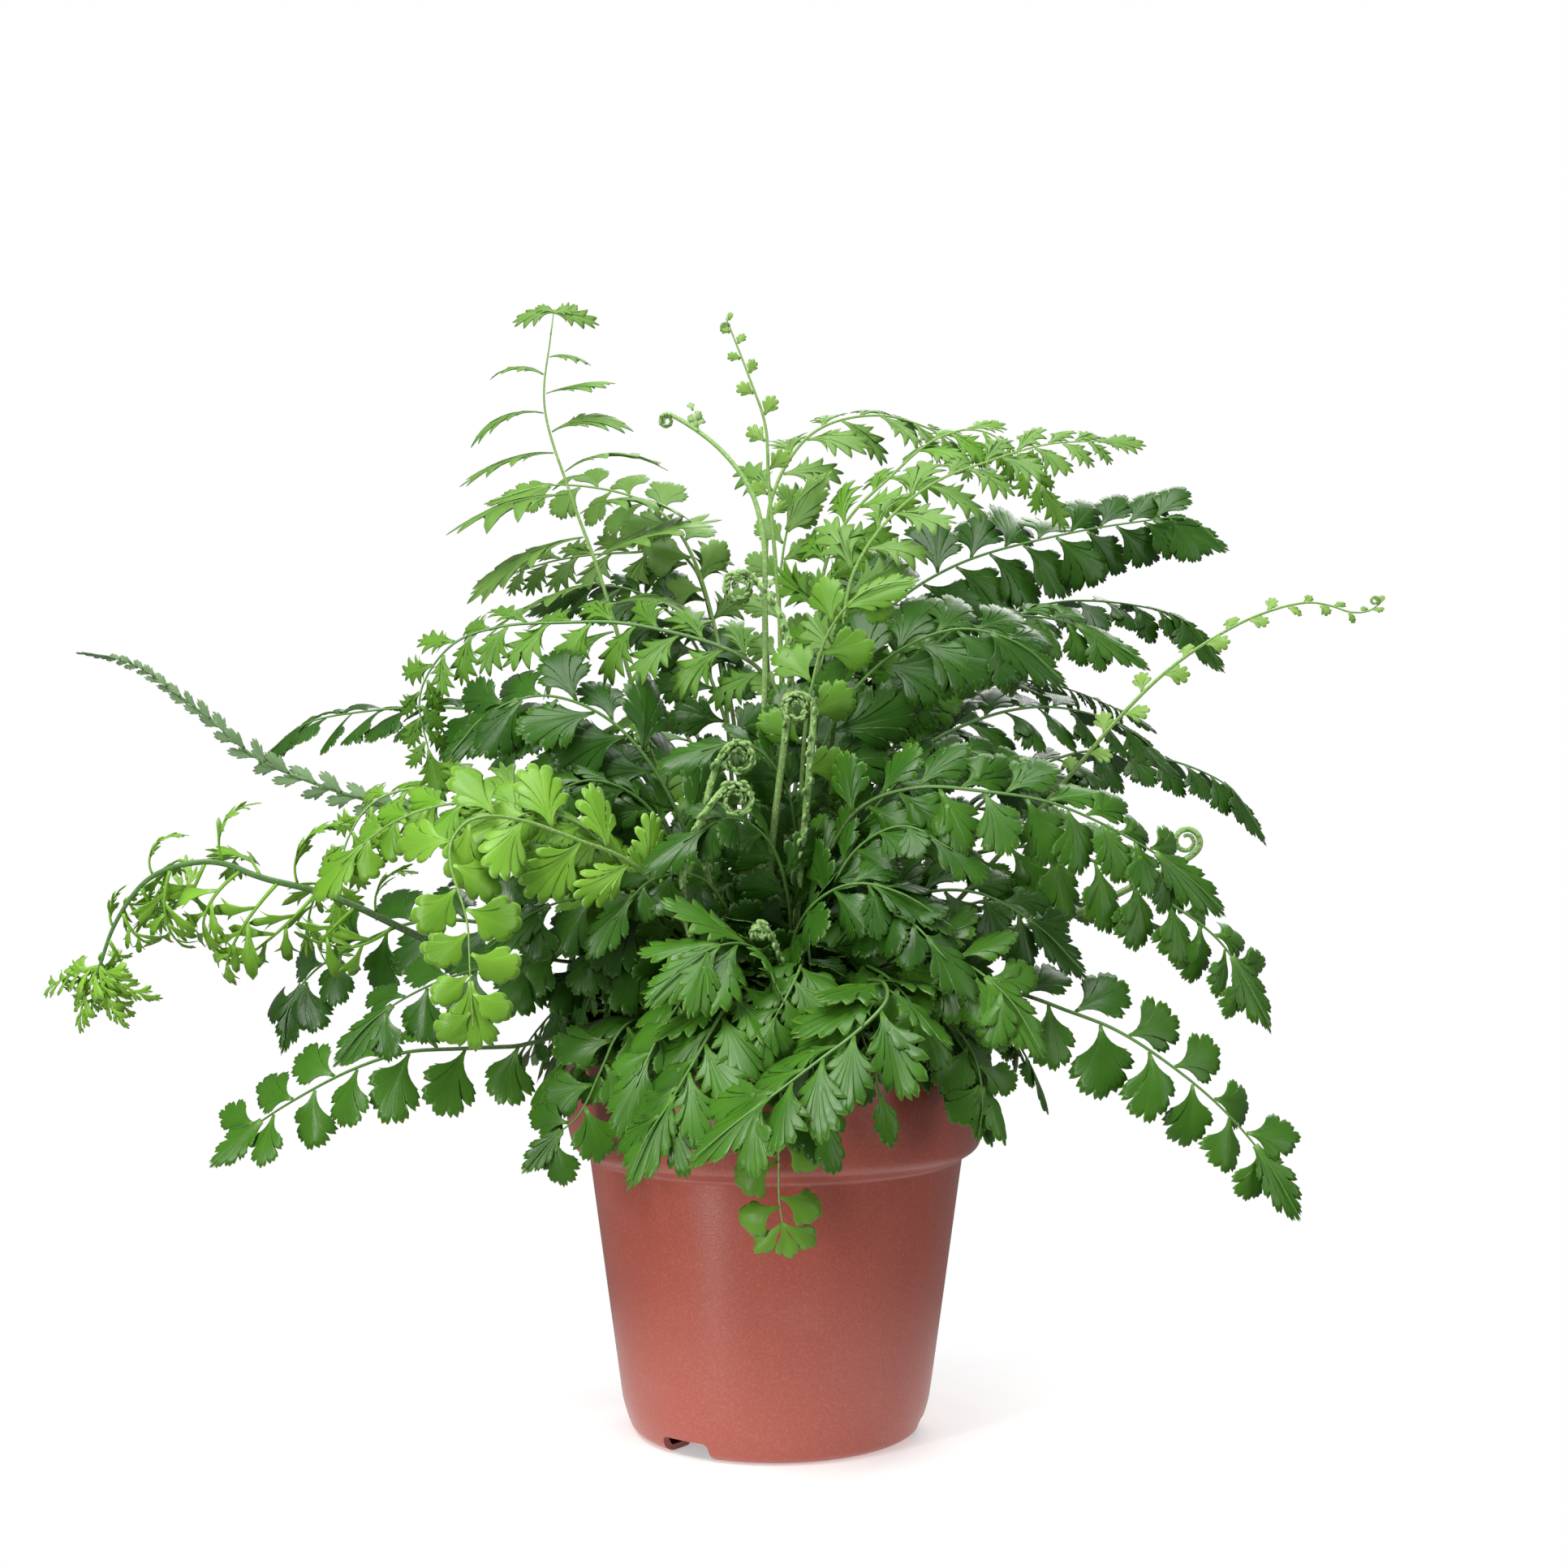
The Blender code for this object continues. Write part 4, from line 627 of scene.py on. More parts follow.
def blade(buf, rng, frame, length, width, lobes, cut, round_to, taper, pattern, slot, tint, bend=0.4, sweep=0.0, cup=0.25, lean=0.0, small=False, wave=0.02, thick=0.3, foot=0.4, centre=0.58, vein=0.6, petiole=0.28):
    """One blade of a leaf: an oval outline on a narrow foot, cut into lobes towards its midrib.

    width: as a share of the length. cut: how deep the lobes are parted. round_to: how far round the oval the margin
    runs on each side of the tip, in degrees. taper: how much the tip narrows. centre: where the oval's middle lies.
    bend: how far it droops along its length, in radians. sweep: how far its tip turns sideways. lean: the wider side."""
    base, way, across, up = frame
    rows = ROWS_SMALL if small else ROWS
    s, reach, phase = [], [], []
    for lobe in range(lobes):
        deep = cut * rng.uniform(0.75, 1.2) * (0.6 + 0.7 * abs(-1.0 + 2.0 * lobe / lobes))
        long = rng.uniform(-0.05, 0.05)
        columns = pattern
        if pattern is ACUTE and lobe >= lobes / 2:
            columns = [pattern[0]] + [(1.0 - f, part, tooth) for f, part, tooth in pattern[:0:-1]]
        for f, part, tooth in columns:
            edge = lobe == 0 and f == 0.0
            s.append(-1.0 + 2.0 * (lobe + f) / lobes)
            reach.append(0.92 if edge else 1.0 - deep * part + tooth * rng.uniform(0.6, 1.4) + long * (f > 0))
            phase.append(f)
    s.append(1.0)
    reach.append(0.92)
    phase.append(0.0)
    s, reach, phase = np.array(s), np.array(reach), np.array(phase)
    turn = s * math.radians(round_to)
    ahead = np.cos(turn)
    um = centre + (1.0 - centre) * ahead
    vm = width / 2 * np.sin(turn) * (1.0 - taper * np.maximum(ahead, 0.0) ** 2) * (1.0 + lean * np.sign(s))
    um = um + 0.05 * lean * np.sign(s)
    origin = vein * um
    um = origin + (um - origin) * reach
    vm = vm * reach
    rho = np.array(rows)[:, None]
    narrow = foot / length
    u = length * (2 * rho * (1 - rho) * (0.48 + petiole * s * s) * um + rho**2 * um)
    v = length * ((1 - rho) ** 2 * s * narrow + 2 * rho * (1 - rho) * (s * narrow + 0.07 * vm) + rho**2 * vm)
    wide = length * width / 2
    crown = 1.0 - (2.0 * phase - 1.0) ** 2
    seed = rng.uniform(0, 6.28)
    h = -cup * v * v / wide + 0.0035 * length * crown * rho**2 + wave * length * np.sin(3.1 * v / wide + 4.0 * u / length + seed) * rho
    h = h + 0.012 * length * np.sin(4.0 * s + seed * 2) * rho - 0.010 * length * np.exp(-((s * 7.0) ** 2)) * rho * (1.2 - rho)
    k = bend if abs(bend) > 1e-3 else 1e-3
    fi = k * u / length
    fore, fall = length * np.sin(fi) / k, -length * (1.0 - np.cos(fi)) / k
    lift_f, lift_u = np.sin(fi), np.cos(fi)
    side = v + sweep * u * u / length / 2
    p = base + way * (fore + lift_f * h)[..., None] + up * (fall + lift_u * h)[..., None] + across * side[..., None]
    normal = way * lift_f[..., None] + up * lift_u[..., None] + across * (2 * cup * v / wide * 0.8)[..., None]
    normal = normal / np.linalg.norm(normal, axis=2, keepdims=True)
    nr, nt = p.shape[:2]
    taper_off = (thick * (0.55 + 0.45 * (1 - rho**4)) / 2)[..., None]
    top, low = (p + normal * taper_off).reshape(-1, 3), (p - normal * taper_off).reshape(-1, 3)
    number = nr * nt
    ij = np.arange(number).reshape(nr, nt)
    a, b, c, d = ij[:-1, :-1].ravel(), ij[:-1, 1:].ravel(), ij[1:, 1:].ravel(), ij[1:, :-1].ravel()
    upward = np.dot(np.cross(across, way), up) > 0
    q = np.stack([a, b, c, d] if upward else [d, c, b, a], 1)
    low_q = q[:, ::-1] + number
    ring = np.concatenate([ij[0, :], ij[1:, -1], ij[-1, -2::-1], ij[-2:0:-1, 0]])
    nxt = np.roll(ring, -1)
    rim = np.stack([nxt, ring, ring + number, nxt + number] if upward else [ring, nxt, nxt + number, ring + number], 1)
    faces = np.concatenate([q, low_q, rim]).tolist()
    along = np.broadcast_to(rho, (nr, nt)).ravel()
    columns = np.broadcast_to(np.arange(nt), (nr, nt)).ravel()
    one = np.ones(number)
    data = np.concatenate([np.stack([along, columns, one * tint, 0 * one], 1), np.stack([along, columns, one * tint, one], 1)])
    buf.add(np.concatenate([top, low]), faces, slot, data)


def turned_frame(frame, point, angle_in, roll=0.0):
    """The frame of a part of a leaf that leaves `point` at an angle in the leaf's plane."""
    _, way, across, up = frame
    w = unit(way * math.cos(angle_in) + across * math.sin(angle_in))
    s = unit(across * math.cos(angle_in) - way * math.sin(angle_in))
    if roll:
        s, up = unit(s * math.cos(roll) + up * math.sin(roll)), unit(up * math.cos(roll) - s * math.sin(roll))
    return point, w, s, up


def bent_axis(frame, length, bend, sweep, n):
    """Points and directions along a leaf's midrib as it droops and turns."""
    base, way, across, up = frame
    out = []
    k = bend if abs(bend) > 1e-3 else 1e-3
    for m in range(n + 1):
        t = m / n
        fi = k * t
        p = base + way * (length * math.sin(fi) / k) - up * (length * (1 - math.cos(fi)) / k) + across * (sweep * t * t * length / 2)
        w = unit(way * math.cos(fi) - up * math.sin(fi) + across * sweep * t)
        u = unit(up * math.cos(fi) + way * math.sin(fi))
        out.append((p, w, unit(np.cross(u, w)), u))
    return out


def compound(buf, rng, frame, length, slot, tint, pairs=4, bend=0.6, sweep=0.1, spread=52.0, finger=0.40, cut=0.55, lobes=3, stem=0.32, wide=0.7, first=0.2):
    """A pinna with small wedge-shaped, forked segments along a thin curved midrib."""
    n = 12
    axis = bent_axis(frame, length * 0.86, bend, sweep, n)
    flip = 1.0 if np.dot(axis[0][2], frame[2]) > 0 else -1.0
    tube(buf, [a[0] for a in axis], [stem * (1.0 - 0.5 * k / n) for k in range(n + 1)], slot, tint, sides=5, along=(0.3, 0.9), flat=0.6, up=frame[3])
    for m in range(2 * pairs):
        t = first + (0.92 - first) * m / (2 * pairs - 1)
        k = min(int(t * n), n - 1)
        p, w, s, u = axis[k]
        p = p + (axis[k + 1][0] - p) * (t * n - k)
        side = (1 if m % 2 == 0 else -1) * flip
        size = finger * (1.0 - 0.5 * (t - first)) * rng.uniform(0.8, 1.2)
        sub = turned_frame((p, w, s, u), p, side * math.radians(spread - 18 * t + rng.uniform(-8, 8)), rng.uniform(-0.5, 0.5))
        blade(buf, rng, sub, length * size, wide, lobes, cut, 80, 0.0, FINGER, slot, tint + rng.uniform(-0.06, 0.06), bend=rng.uniform(0.1, 0.9), cup=0.15, small=True, wave=0.01, foot=0.35, thick=0.28, centre=0.7, vein=0.45)
    p, w, s, u = axis[-1]
    blade(buf, rng, (p, w, s, u), length * 0.28, wide, 3, cut, 85, 0.0, FINGER, slot, tint, bend=0.4, small=True, foot=0.35, thick=0.28, centre=0.66, vein=0.45)


SHAPES = {
    # kind: (width, lobes, cut, margin to, taper, lobe pattern)
    "lobed": (0.72, 7, 0.40, 120, 0.28, TEETH),
    "broad": (0.74, 7, 0.38, 120, 0.24, TEETH),
    "lance": (0.62, 9, 0.46, 130, 0.36, ACUTE),
    "fan": (0.82, 5, 0.32, 117, 0.16, TEETH),
    "round": (0.78, 5, 0.36, 122, 0.0, SCALLOP),
    "narrow": (0.42, 9, 0.40, 140, 0.35, SCALLOP),
    "edge": (0.46, 5, 0.45, 125, 0.3, ACUTE),
    "young": (0.80, 5, 0.55, 122, 0.05, SCALLOP),
    "fine": (0.70, 7, 0.80, 124, 0.16, FINGER),
    "arch": (0.62, 7, 0.74, 130, 0.2, FINGER),
}


def make_pinna(buf, rng, kind, frame, length, tint, share, spread=1.0):
    """The detailed pinna for a plate of the design."""
    base, way, across, up = frame
    roll = rng.uniform(-0.3, 0.3) * spread
    if kind == "arch":
        # these lie level, so they show their edge
        high = np.array((0.0, 0.0, 1.0))
        high = unit(high - way * np.dot(high, way))
        sign = 1.0 if np.dot(np.cross(across, way), up) > 0 else -1.0
        up = unit(high * 0.55 + up * rng.uniform(0.7, 1.4))
        across = unit(np.cross(way, up)) * sign
        if np.dot(np.cross(across, way), up) * sign < 0:
            across = -across
        roll *= 0.5
    across, up = unit(across * math.cos(roll) + up * math.sin(roll)), unit(up * math.cos(roll) - across * math.sin(roll))
    frame = (base, way, across, up)
    if kind == "claw":
        compound(buf, rng, frame, length, 0, tint, pairs=3, bend=rng.uniform(0.9, 2.3), sweep=rng.uniform(-0.7, 0.7), lobes=rng.choice((1, 1, 2, 3)), finger=0.42, cut=0.55, spread=46, stem=0.6, wide=0.56, first=0.26)
        return
    width, lobes, cut, to, taper, pattern = SHAPES[kind]
    if kind in ("lobed", "lance") and length > 12 and rng.random() < 0.75:
        # the lowest lobe on the upper side is almost free
        axis = bent_axis(frame, length, 0.35, 0.1, 8)
        p, w, sd, u = axis[2]
        flip = 1.0 if np.dot(sd, across) > 0 else -1.0
        sub = turned_frame((p, w, sd * flip, u), p, math.radians(rng.uniform(34, 46)), rng.uniform(-0.2, 0.2))
        blade(buf, rng, sub, length * (0.30 if kind == "lance" else 0.46) * rng.uniform(0.9, 1.1), 0.7, 3, 0.25, 110, 0.1, TEETH, 0, tint + rng.uniform(-0.03, 0.03), bend=0.3, foot=0.5)
    if kind == "round":
        cut = 0.34 * max(0.0, 1.0 - 1.1 * share) + 0.20
        lobes = 7 if share < 0.45 else 5
        width = 0.66 + 0.12 * min(1.0, 1.4 * share)
    small = length < 5.0
    if length < 9 and pattern is TEETH:
        pattern, lobes = SCALLOP, max(5, lobes)
    bend = {"arch": 1.0, "edge": 0.5, "young": 0.5, "fine": 0.6, "narrow": 0.7}.get(kind, 0.42) * rng.uniform(0.5, 1.5)
    blade(buf, rng, frame, length, width * rng.uniform(0.9, 1.08), lobes, cut, to, taper, pattern, 0, tint, bend=bend, sweep=rng.uniform(-0.1, 0.35), cup=rng.uniform(0.05, 0.4), lean=rng.uniform(0.0, 0.16), small=small, wave=rng.uniform(0.008, 0.03), vein={"fine": 0.72, "arch": 0.72, "lance": 0.8, "lobed": 0.7, "broad": 0.7}.get(kind, 0.62))


def smooth_arr(points, per):
    """Points along a smooth curve through the stations, with `per` steps in each span, as arrays."""
    fine = smooth_path([Vector(p) for p in points])
    keep = [arr(fine[k]) for k in range(0, len(fine), 16 // per)]
    if np.linalg.norm(keep[-1] - arr(fine[-1])) > 1e-6:
        keep.append(arr(fine[-1]))
    return keep


# how much longer the pinnae are than their plates
GROW = {"lobed": 1.12, "broad": 1.12, "fan": 1.25, "round": 1.25, "fine": 1.25, "claw": 1.6, "arch": 1.4, "narrow": 1.35, "edge": 1.0, "young": 1.0}
BARE = ("frond_lime_curled_left", "frond_hanging_front", "frond_erect_left", "frond_young_erect", "frond_young_right_long", "frond_lower_left", "frond_back_left_rising", "frond_pale_middle", "frond_pale_right")
TALL = ("frond_top_middle", "frond_top_right", "frond_top_right_long", "frond_pale_left", "frond_upper_left_fine", "frond_fine_left")
BLUNT = ("lobed", "broad", "lance", "fan", "round")
THIN = {"fine": "lobed", "claw": "fan", "arch": "fan", "edge": "fan", "narrow": "lobed", "young": "fan"}


def along_path(points, distance):
    """A point and the direction at a distance along a path of arrays."""
    for a, b in zip(points, points[1:]):
        step = np.linalg.norm(b - a)
        if distance <= step:
            return a + (b - a) * (distance / step), unit(b - a)
        distance -= step
    return points[-1], unit(points[-1] - points[-2])


def lower_pinnae(buf, rng, row, tint):
    """Pinnae on the lower stalk, among the other fronds, larger and more loosely set than those above."""
    st = [arr(p) for p in row["stations"]]
    last = len(st) - 1
    first = last - 2 * row["pairs"] - 1
    reach = sum(np.linalg.norm(b - a) for a, b in zip(st[: first + 1], st[1 : first + 1]))
    step = max(4.6, np.linalg.norm(st[first + 1] - st[first]) * 1.05)
    kind = THIN.get(row["kind"], row["kind"])
    face = arr(row["face"])
    length = min(max(row["longest"] * 1.0, 14.0), 18.0)
    d, m = (reach * 0.6 if row["name"] in TALL else reach - step * 0.6), 0
    while d > 11.0:
        p, t = along_path(st, d)
        n = unit(face - t * np.dot(face, t) + np.array([rng.uniform(-0.35, 0.35) for _ in range(3)]))
        n = unit(n - t * np.dot(n, t))
        b = np.cross(n, t)
        side = 1 if m % 2 else -1
        angle = math.radians(rng.uniform(46, 66))
        way = t * math.cos(angle) + b * side * math.sin(angle)
        droop = math.radians(row["droop"] * 0.6 + rng.uniform(-22, 22))
        way = unit(way * math.cos(droop) - n * math.sin(droop))
        across = unit(np.cross(n, way))
        up = unit(np.cross(way, across))
        size = length * rng.uniform(0.72, 1.02) * (0.72 + 0.28 * min(1.0, d / max(reach, 1.0)))
        if rng.random() < 0.9:
            make_pinna(buf, rng, kind, (p, way, across, up), size, tint + rng.uniform(-0.14, 0.1), 0.2, 1.6)
        d -= step * rng.uniform(0.85, 1.25)
        m += 1


def offshoot(buf, rng, start, azimuth, reach, rise, sink, size, tint, kind):
    """A short young leaf beside the frond, from the same knot of the crown."""
    out = np.array((math.cos(azimuth), math.sin(azimuth), 0.0))
    n = 16
    bow = rng.uniform(-0.25, 0.25)
    side_out = np.array((-out[1], out[0], 0.0))
    pts = []
    for k in range(n + 1):
        t = k / n
        pts.append(start + out * reach * t + side_out * bow * reach * t * t + np.array((0.0, 0.0, rise * (2.6 * t - (2.4 + sink) * t * t))))
    path = [start - np.array((0, 0, 3.0))] + pts
    tube(buf, path, [0.85 * (1 - 0.65 * k / (n + 1)) for k in range(n + 2)], 1, 0.0, sides=6)
    total = sum(np.linalg.norm(b - a) for a, b in zip(pts, pts[1:]))
    d, m = total * 0.26, 0
    step = size * 0.36
    while d < total - 1.5:
        share = d / total
        p, t = along_path(pts, d)
        n_up = np.array((0.0, 0.0, 0.8)) + out * 0.75
        nn = unit(n_up - t * np.dot(n_up, t))
        b = np.cross(nn, t)
        side = 1 if m % 2 else -1
        angle = math.radians(64 - 22 * share)
        way = t * math.cos(angle) + b * side * math.sin(angle)
        droop = rng.uniform(-0.1, 0.4)
        way = unit(way * math.cos(droop) - nn * math.sin(droop))
        across = unit(np.cross(nn, way))
        make_pinna(buf, rng, kind, (p, way, across, unit(np.cross(way, across))), size * (1.0 - 0.5 * share**1.5) * rng.uniform(0.9, 1.08), tint + rng.uniform(-0.1, 0.1), share)
        d += step * (1.0 - 0.35 * share)
        m += 1
    t = unit(pts[-1] - pts[-2])
    nn = unit(np.array((0.0, 0.0, 0.8)) + out * 0.75 - t * np.dot(np.array((0.0, 0.0, 0.8)) + out * 0.75, t))
    blade(buf, rng, (pts[-1] - t, t, unit(np.cross(nn, t)), nn), size * 0.85, 0.5, 7, 0.26, 138, 0.35, SCALLOP, 0, tint + 0.08, bend=0.4, foot=0.5)


# smaller leaves that grow beside a frond, low in the middle of the plant, and one fresh lime one on the left
BESIDE = {
    "frond_lime_front_left": (
        (((-16, -16, 112), (-40, -38, 154), (-60, -50, 172), (-82, -54, 178), (-100, -55, 173), (-114, -55, 162)), 19.0, "round"),
        (((-14, -18, 112), (-34, -40, 150), (-46, -54, 168), (-60, -64, 176), (-72, -70, 172)), 16.0, "lobed"),
    ),
    "frond_front_middle_long": (
        (((4, -18, 112), (7, -42, 135), (6, -60, 134), (2, -72, 127), (-3, -80, 119)), 17.0, "lobed"),
        (((9, -18, 112), (18, -38, 134), (27, -54, 134), (34, -64, 128), (39, -69, 120)), 17.0, "lobed"),
    ),
    "frond_front_left_long": (
        (((-6, -18, 112), (-15, -42, 132), (-24, -62, 127), (-31, -74, 116), (-35, -80, 107)), 20.0, "fan"),
    ),
    "frond_front_middle_dark": (
        (((2, -16, 112), (4, -32, 148), (-2, -44, 168), (-12, -52, 174), (-24, -58, 168)), 19.0, "lobed"),
        (((6, -16, 112), (12, -34, 146), (22, -46, 166), (34, -54, 172), (46, -60, 166)), 19.0, "broad"),
    ),
    "frond_front_left_low": (
        (((-4, -18, 112), (-10, -34, 142), (-20, -46, 158), (-32, -54, 158), (-42, -60, 148)), 18.0, "fan"),
    ),
    "frond_left_middle": (
        (((-10, -14, 112), (-24, -24, 156), (-36, -32, 178), (-50, -38, 184), (-64, -42, 178)), 19.0, "lobed"),
    ),
    "frond_front_right_short": (
        (((6, -18, 112), (14, -38, 136), (24, -52, 148), (34, -62, 148), (44, -68, 138)), 19.0, "fan"),
    ),
    "frond_broad_middle_right": (
        (((4, -12, 112), (6, -24, 160), (2, -32, 184), (-8, -38, 194), (-20, -42, 192)), 18.0, "lobed"),
        (((8, -10, 112), (18, -20, 158), (32, -28, 182), (48, -34, 192), (64, -38, 188)), 19.0, "broad"),
    ),
}


def side_leaf(buf, rng, points, size, tint, kind):
    """A leaf on its own thin stalk, pinnate like the fronds."""
    pts = smooth_arr([tuple(p) for p in points], 8)
    n = len(pts)
    tube(buf, pts, [0.7 * (1 - 0.7 * k / n) for k in range(n)], 1, 0.0, sides=6)
    total = sum(np.linalg.norm(b - a) for a, b in zip(pts, pts[1:]))
    width = SHAPES[kind][0]
    d, m = total * 0.30, 0
    face = np.array((0.0, -0.75, 0.65))
    while d < total - size * 0.35:
        share = d / total
        p, t = along_path(pts, d)
        n_up = unit(face - t * np.dot(face, t))
        b = np.cross(n_up, t)
        side = 1 if m % 2 else -1
        angle = math.radians(62 - 22 * share + rng.uniform(-6, 6))
        way = t * math.cos(angle) + b * side * math.sin(angle)
        droop = rng.uniform(-0.05, 0.45)
        way = unit(way * math.cos(droop) - n_up * math.sin(droop))
        across = unit(np.cross(n_up, way))
        long = size * (1.0 - 0.5 * share**2) * rng.uniform(0.88, 1.08)
        make_pinna(buf, rng, kind, (p, way, across * side, unit(np.cross(way, across))), long, tint + rng.uniform(-0.12, 0.12), share * 0.5)
        d += width * long * 0.46
        m += 1
    t = unit(pts[-1] - pts[-3])
    n_up = unit(face - t * np.dot(face, t))
    blade(buf, rng, (pts[-1] - t * size * 0.4, t, unit(np.cross(n_up, t)), n_up), size * 1.1, 0.55, 7, 0.38, 134, 0.35, TEETH, 0, tint + 0.08, bend=0.4, foot=0.6, vein=0.62)


SHAPE_BY_NAME = {
    "frond_front_middle_long": "lance", "frond_front_left_long": "lance", "frond_front_left_short": "lance", "frond_front_right_short": "lobed",
    "frond_hanging_front": "hanging", "frond_pale_middle": "lobed", "frond_broad_right": "broad", "frond_pale_right": "fan",
}
# fronds that turn their upper side to the front
FACING = {
    "frond_front_middle_long": (0.1, -0.38, 0.92), "frond_front_left_long": (-0.1, -0.5, 0.87), "frond_front_left_short": (0.0, -0.75, 0.65), "frond_front_right_short": (0.0, -0.75, 0.65),
    "frond_front_right_low": (0.0, -0.8, 0.6), "frond_front_left_low": (0.0, -0.8, 0.6), "frond_front_middle_dark": (0.0, -0.6, 0.8), "frond_hanging_front": (0.0, -1.0, 0.1),
    "frond_broad_right": (0.1, -0.9, 0.4), "frond_lower_right": (0.15, -0.9, 0.5), "frond_lower_left": (-0.15, -0.9, 0.5),
}
# how wide the pinnae of one side are spaced, in pinna widths, and their angle to the stalk low down and at the tip
GAP = {"lobed": 0.84, "broad": 0.66, "lance": 0.72, "fan": 0.98, "round": 1.05, "fine": 0.95, "narrow": 0.95, "edge": 1.9, "young": 2.7}
ANGLE = {"lobed": (58, 40), "broad": (58, 42), "lance": (48, 30), "fan": (60, 42), "round": (64, 48), "fine": (54, 36), "narrow": (44, 30), "edge": (30, 20), "young": (50, 34)}
GROW.update(lance=1.25)
MOST = {"lobed": 19.5, "broad": 25.0, "lance": 26.0, "fan": 18.5, "round": 19.0, "fine": 20.0, "narrow": 17.0, "edge": 10.0, "young": 7.5}
MOST_BY_NAME = {"frond_pale_middle": 12.5, "frond_pale_right": 15.0, "frond_pale_left": 15.0, "frond_rim_left": 16.0, "frond_front_left_long": 22.0}
# how full the pinnae stay towards the tip, as a power of the frond's outline
FULL = {"lobed": 0.62, "broad": 0.6, "lance": 0.55, "fan": 0.5, "round": 0.62, "fine": 0.8}


def end_size(row):
    return min(row["longest"] * 1.1, 24.0)


def spaced_pinnae(buf, rng, row, kind, frond_tint):
    """Pinnae set by turns on both sides of the stalk, closer as they get smaller towards the tip."""
    st, fr = [arr(p) for p in row["stations"]], row["frames"]
    last = len(st) - 1
    first = last - 2 * row["pairs"] - 1
    steps = [np.linalg.norm(q - p) for p, q in zip(st[first:], st[first + 1 :])]
    total = sum(steps)
    width = SHAPES[kind][0]
    most = MOST_BY_NAME.get(row["name"], MOST[kind])
    loose = 1.5 if row["name"] in ("frond_pale_middle", "frond_pale_right") else 1.0
    d, m = 0.6, int(rng.random() < 0.5)
    while d < total - (end_size(row) * 0.72 if kind in BLUNT and kind != "round" else 0.12 * min(row["longest"], 20.0)):
        share = d / total
        k, rest = first, d
        while k < last - 1 and rest > steps[k - first]:
            rest -= steps[k - first]
            k += 1
        f = min(1.0, rest / steps[k - first])
        p = st[k] + (st[k + 1] - st[k]) * f
        t = unit(st[k + 1] - st[k])
        n = arr(fr[k][1]) * (1 - f) + arr(fr[k + 1][1]) * f
        if row["name"] in FACING:
            n = np.array(FACING[row["name"]])
        n = unit(n - t * np.dot(n, t))
        b = np.cross(n, t)
        side = 1 if m % 2 == 0 else -1
        length = min(row["longest"] * GROW[kind], most) * pinna_profile(share) ** FULL.get(kind, 1.0) * rng.uniform(0.92, 1.07)
        low, high = ANGLE[kind]
        angle = math.radians(low + (high - low) * share + rng.uniform(-5, 5))
        if kind == "edge":
            out = unit(np.cross(t, (0.0, -1.0, 0.0))) * side
            way = unit(t * math.cos(angle) + out * math.sin(angle) + np.array((0.0, rng.uniform(-0.3, 0.1), 0.0)))
            n = unit(np.array((0.0, -1.0, 0.25)) - way * np.dot(np.array((0.0, -1.0, 0.25)), way))
        else:
            way = t * math.cos(angle) + b * side * math.sin(angle)
            droop = math.radians(row["droop"] + rng.uniform(-14, 14))
            way = unit(way * math.cos(droop) - n * math.sin(droop))
        across = unit(np.cross(n, way))
        up = unit(np.cross(way, across))
        tint = frond_tint + rng.uniform(-0.12, 0.12) + 0.22 * share * (kind in ("fine", "round"))
        make_pinna(buf, rng, kind, (p + b * side * 0.5, way, across * side, up), length, tint, share)
        d += max(GAP[kind] * length * width * loose, 2.4) / 2
        m += 1


def plate_pinnae(buf, rng, row, frond_tint):
    """Pinnae that stand where the design's plates stand."""
    st = row["stations"]
    kind = row["kind"]
    for m, pinna in enumerate(row["pinnae"]):
        share = m / max(1, len(row["pinnae"]) - 1)
        if not pinna:
            continue
        foot = (pinna["base0"] + pinna["base1"]) / 2
        full = pinna["long"] / pinna["scale"]
        length = full * max(pinna["scale"], 0.8) * GROW[kind]
        way, across, up = arr(pinna["way"]), arr(pinna["across"]), arr(pinna["up"])
        t = unit(arr(st[pinna["k"] + 1] - st[pinna["k"]]))
        if kind == "claw" and m % 4 == 1:
            way = unit(t * 0.35 + np.array((rng.uniform(-0.3, 0.1), -0.1, 1.0)))
            up = unit(np.cross(way, (0.0, 1.0, 0.0)))
            across = unit(np.cross(up, way))
            length *= 0.7
        make_pinna(buf, rng, kind, (arr(foot), way, across, up), length, frond_tint + rng.uniform(-0.1, 0.1) + 0.22 * share, share)


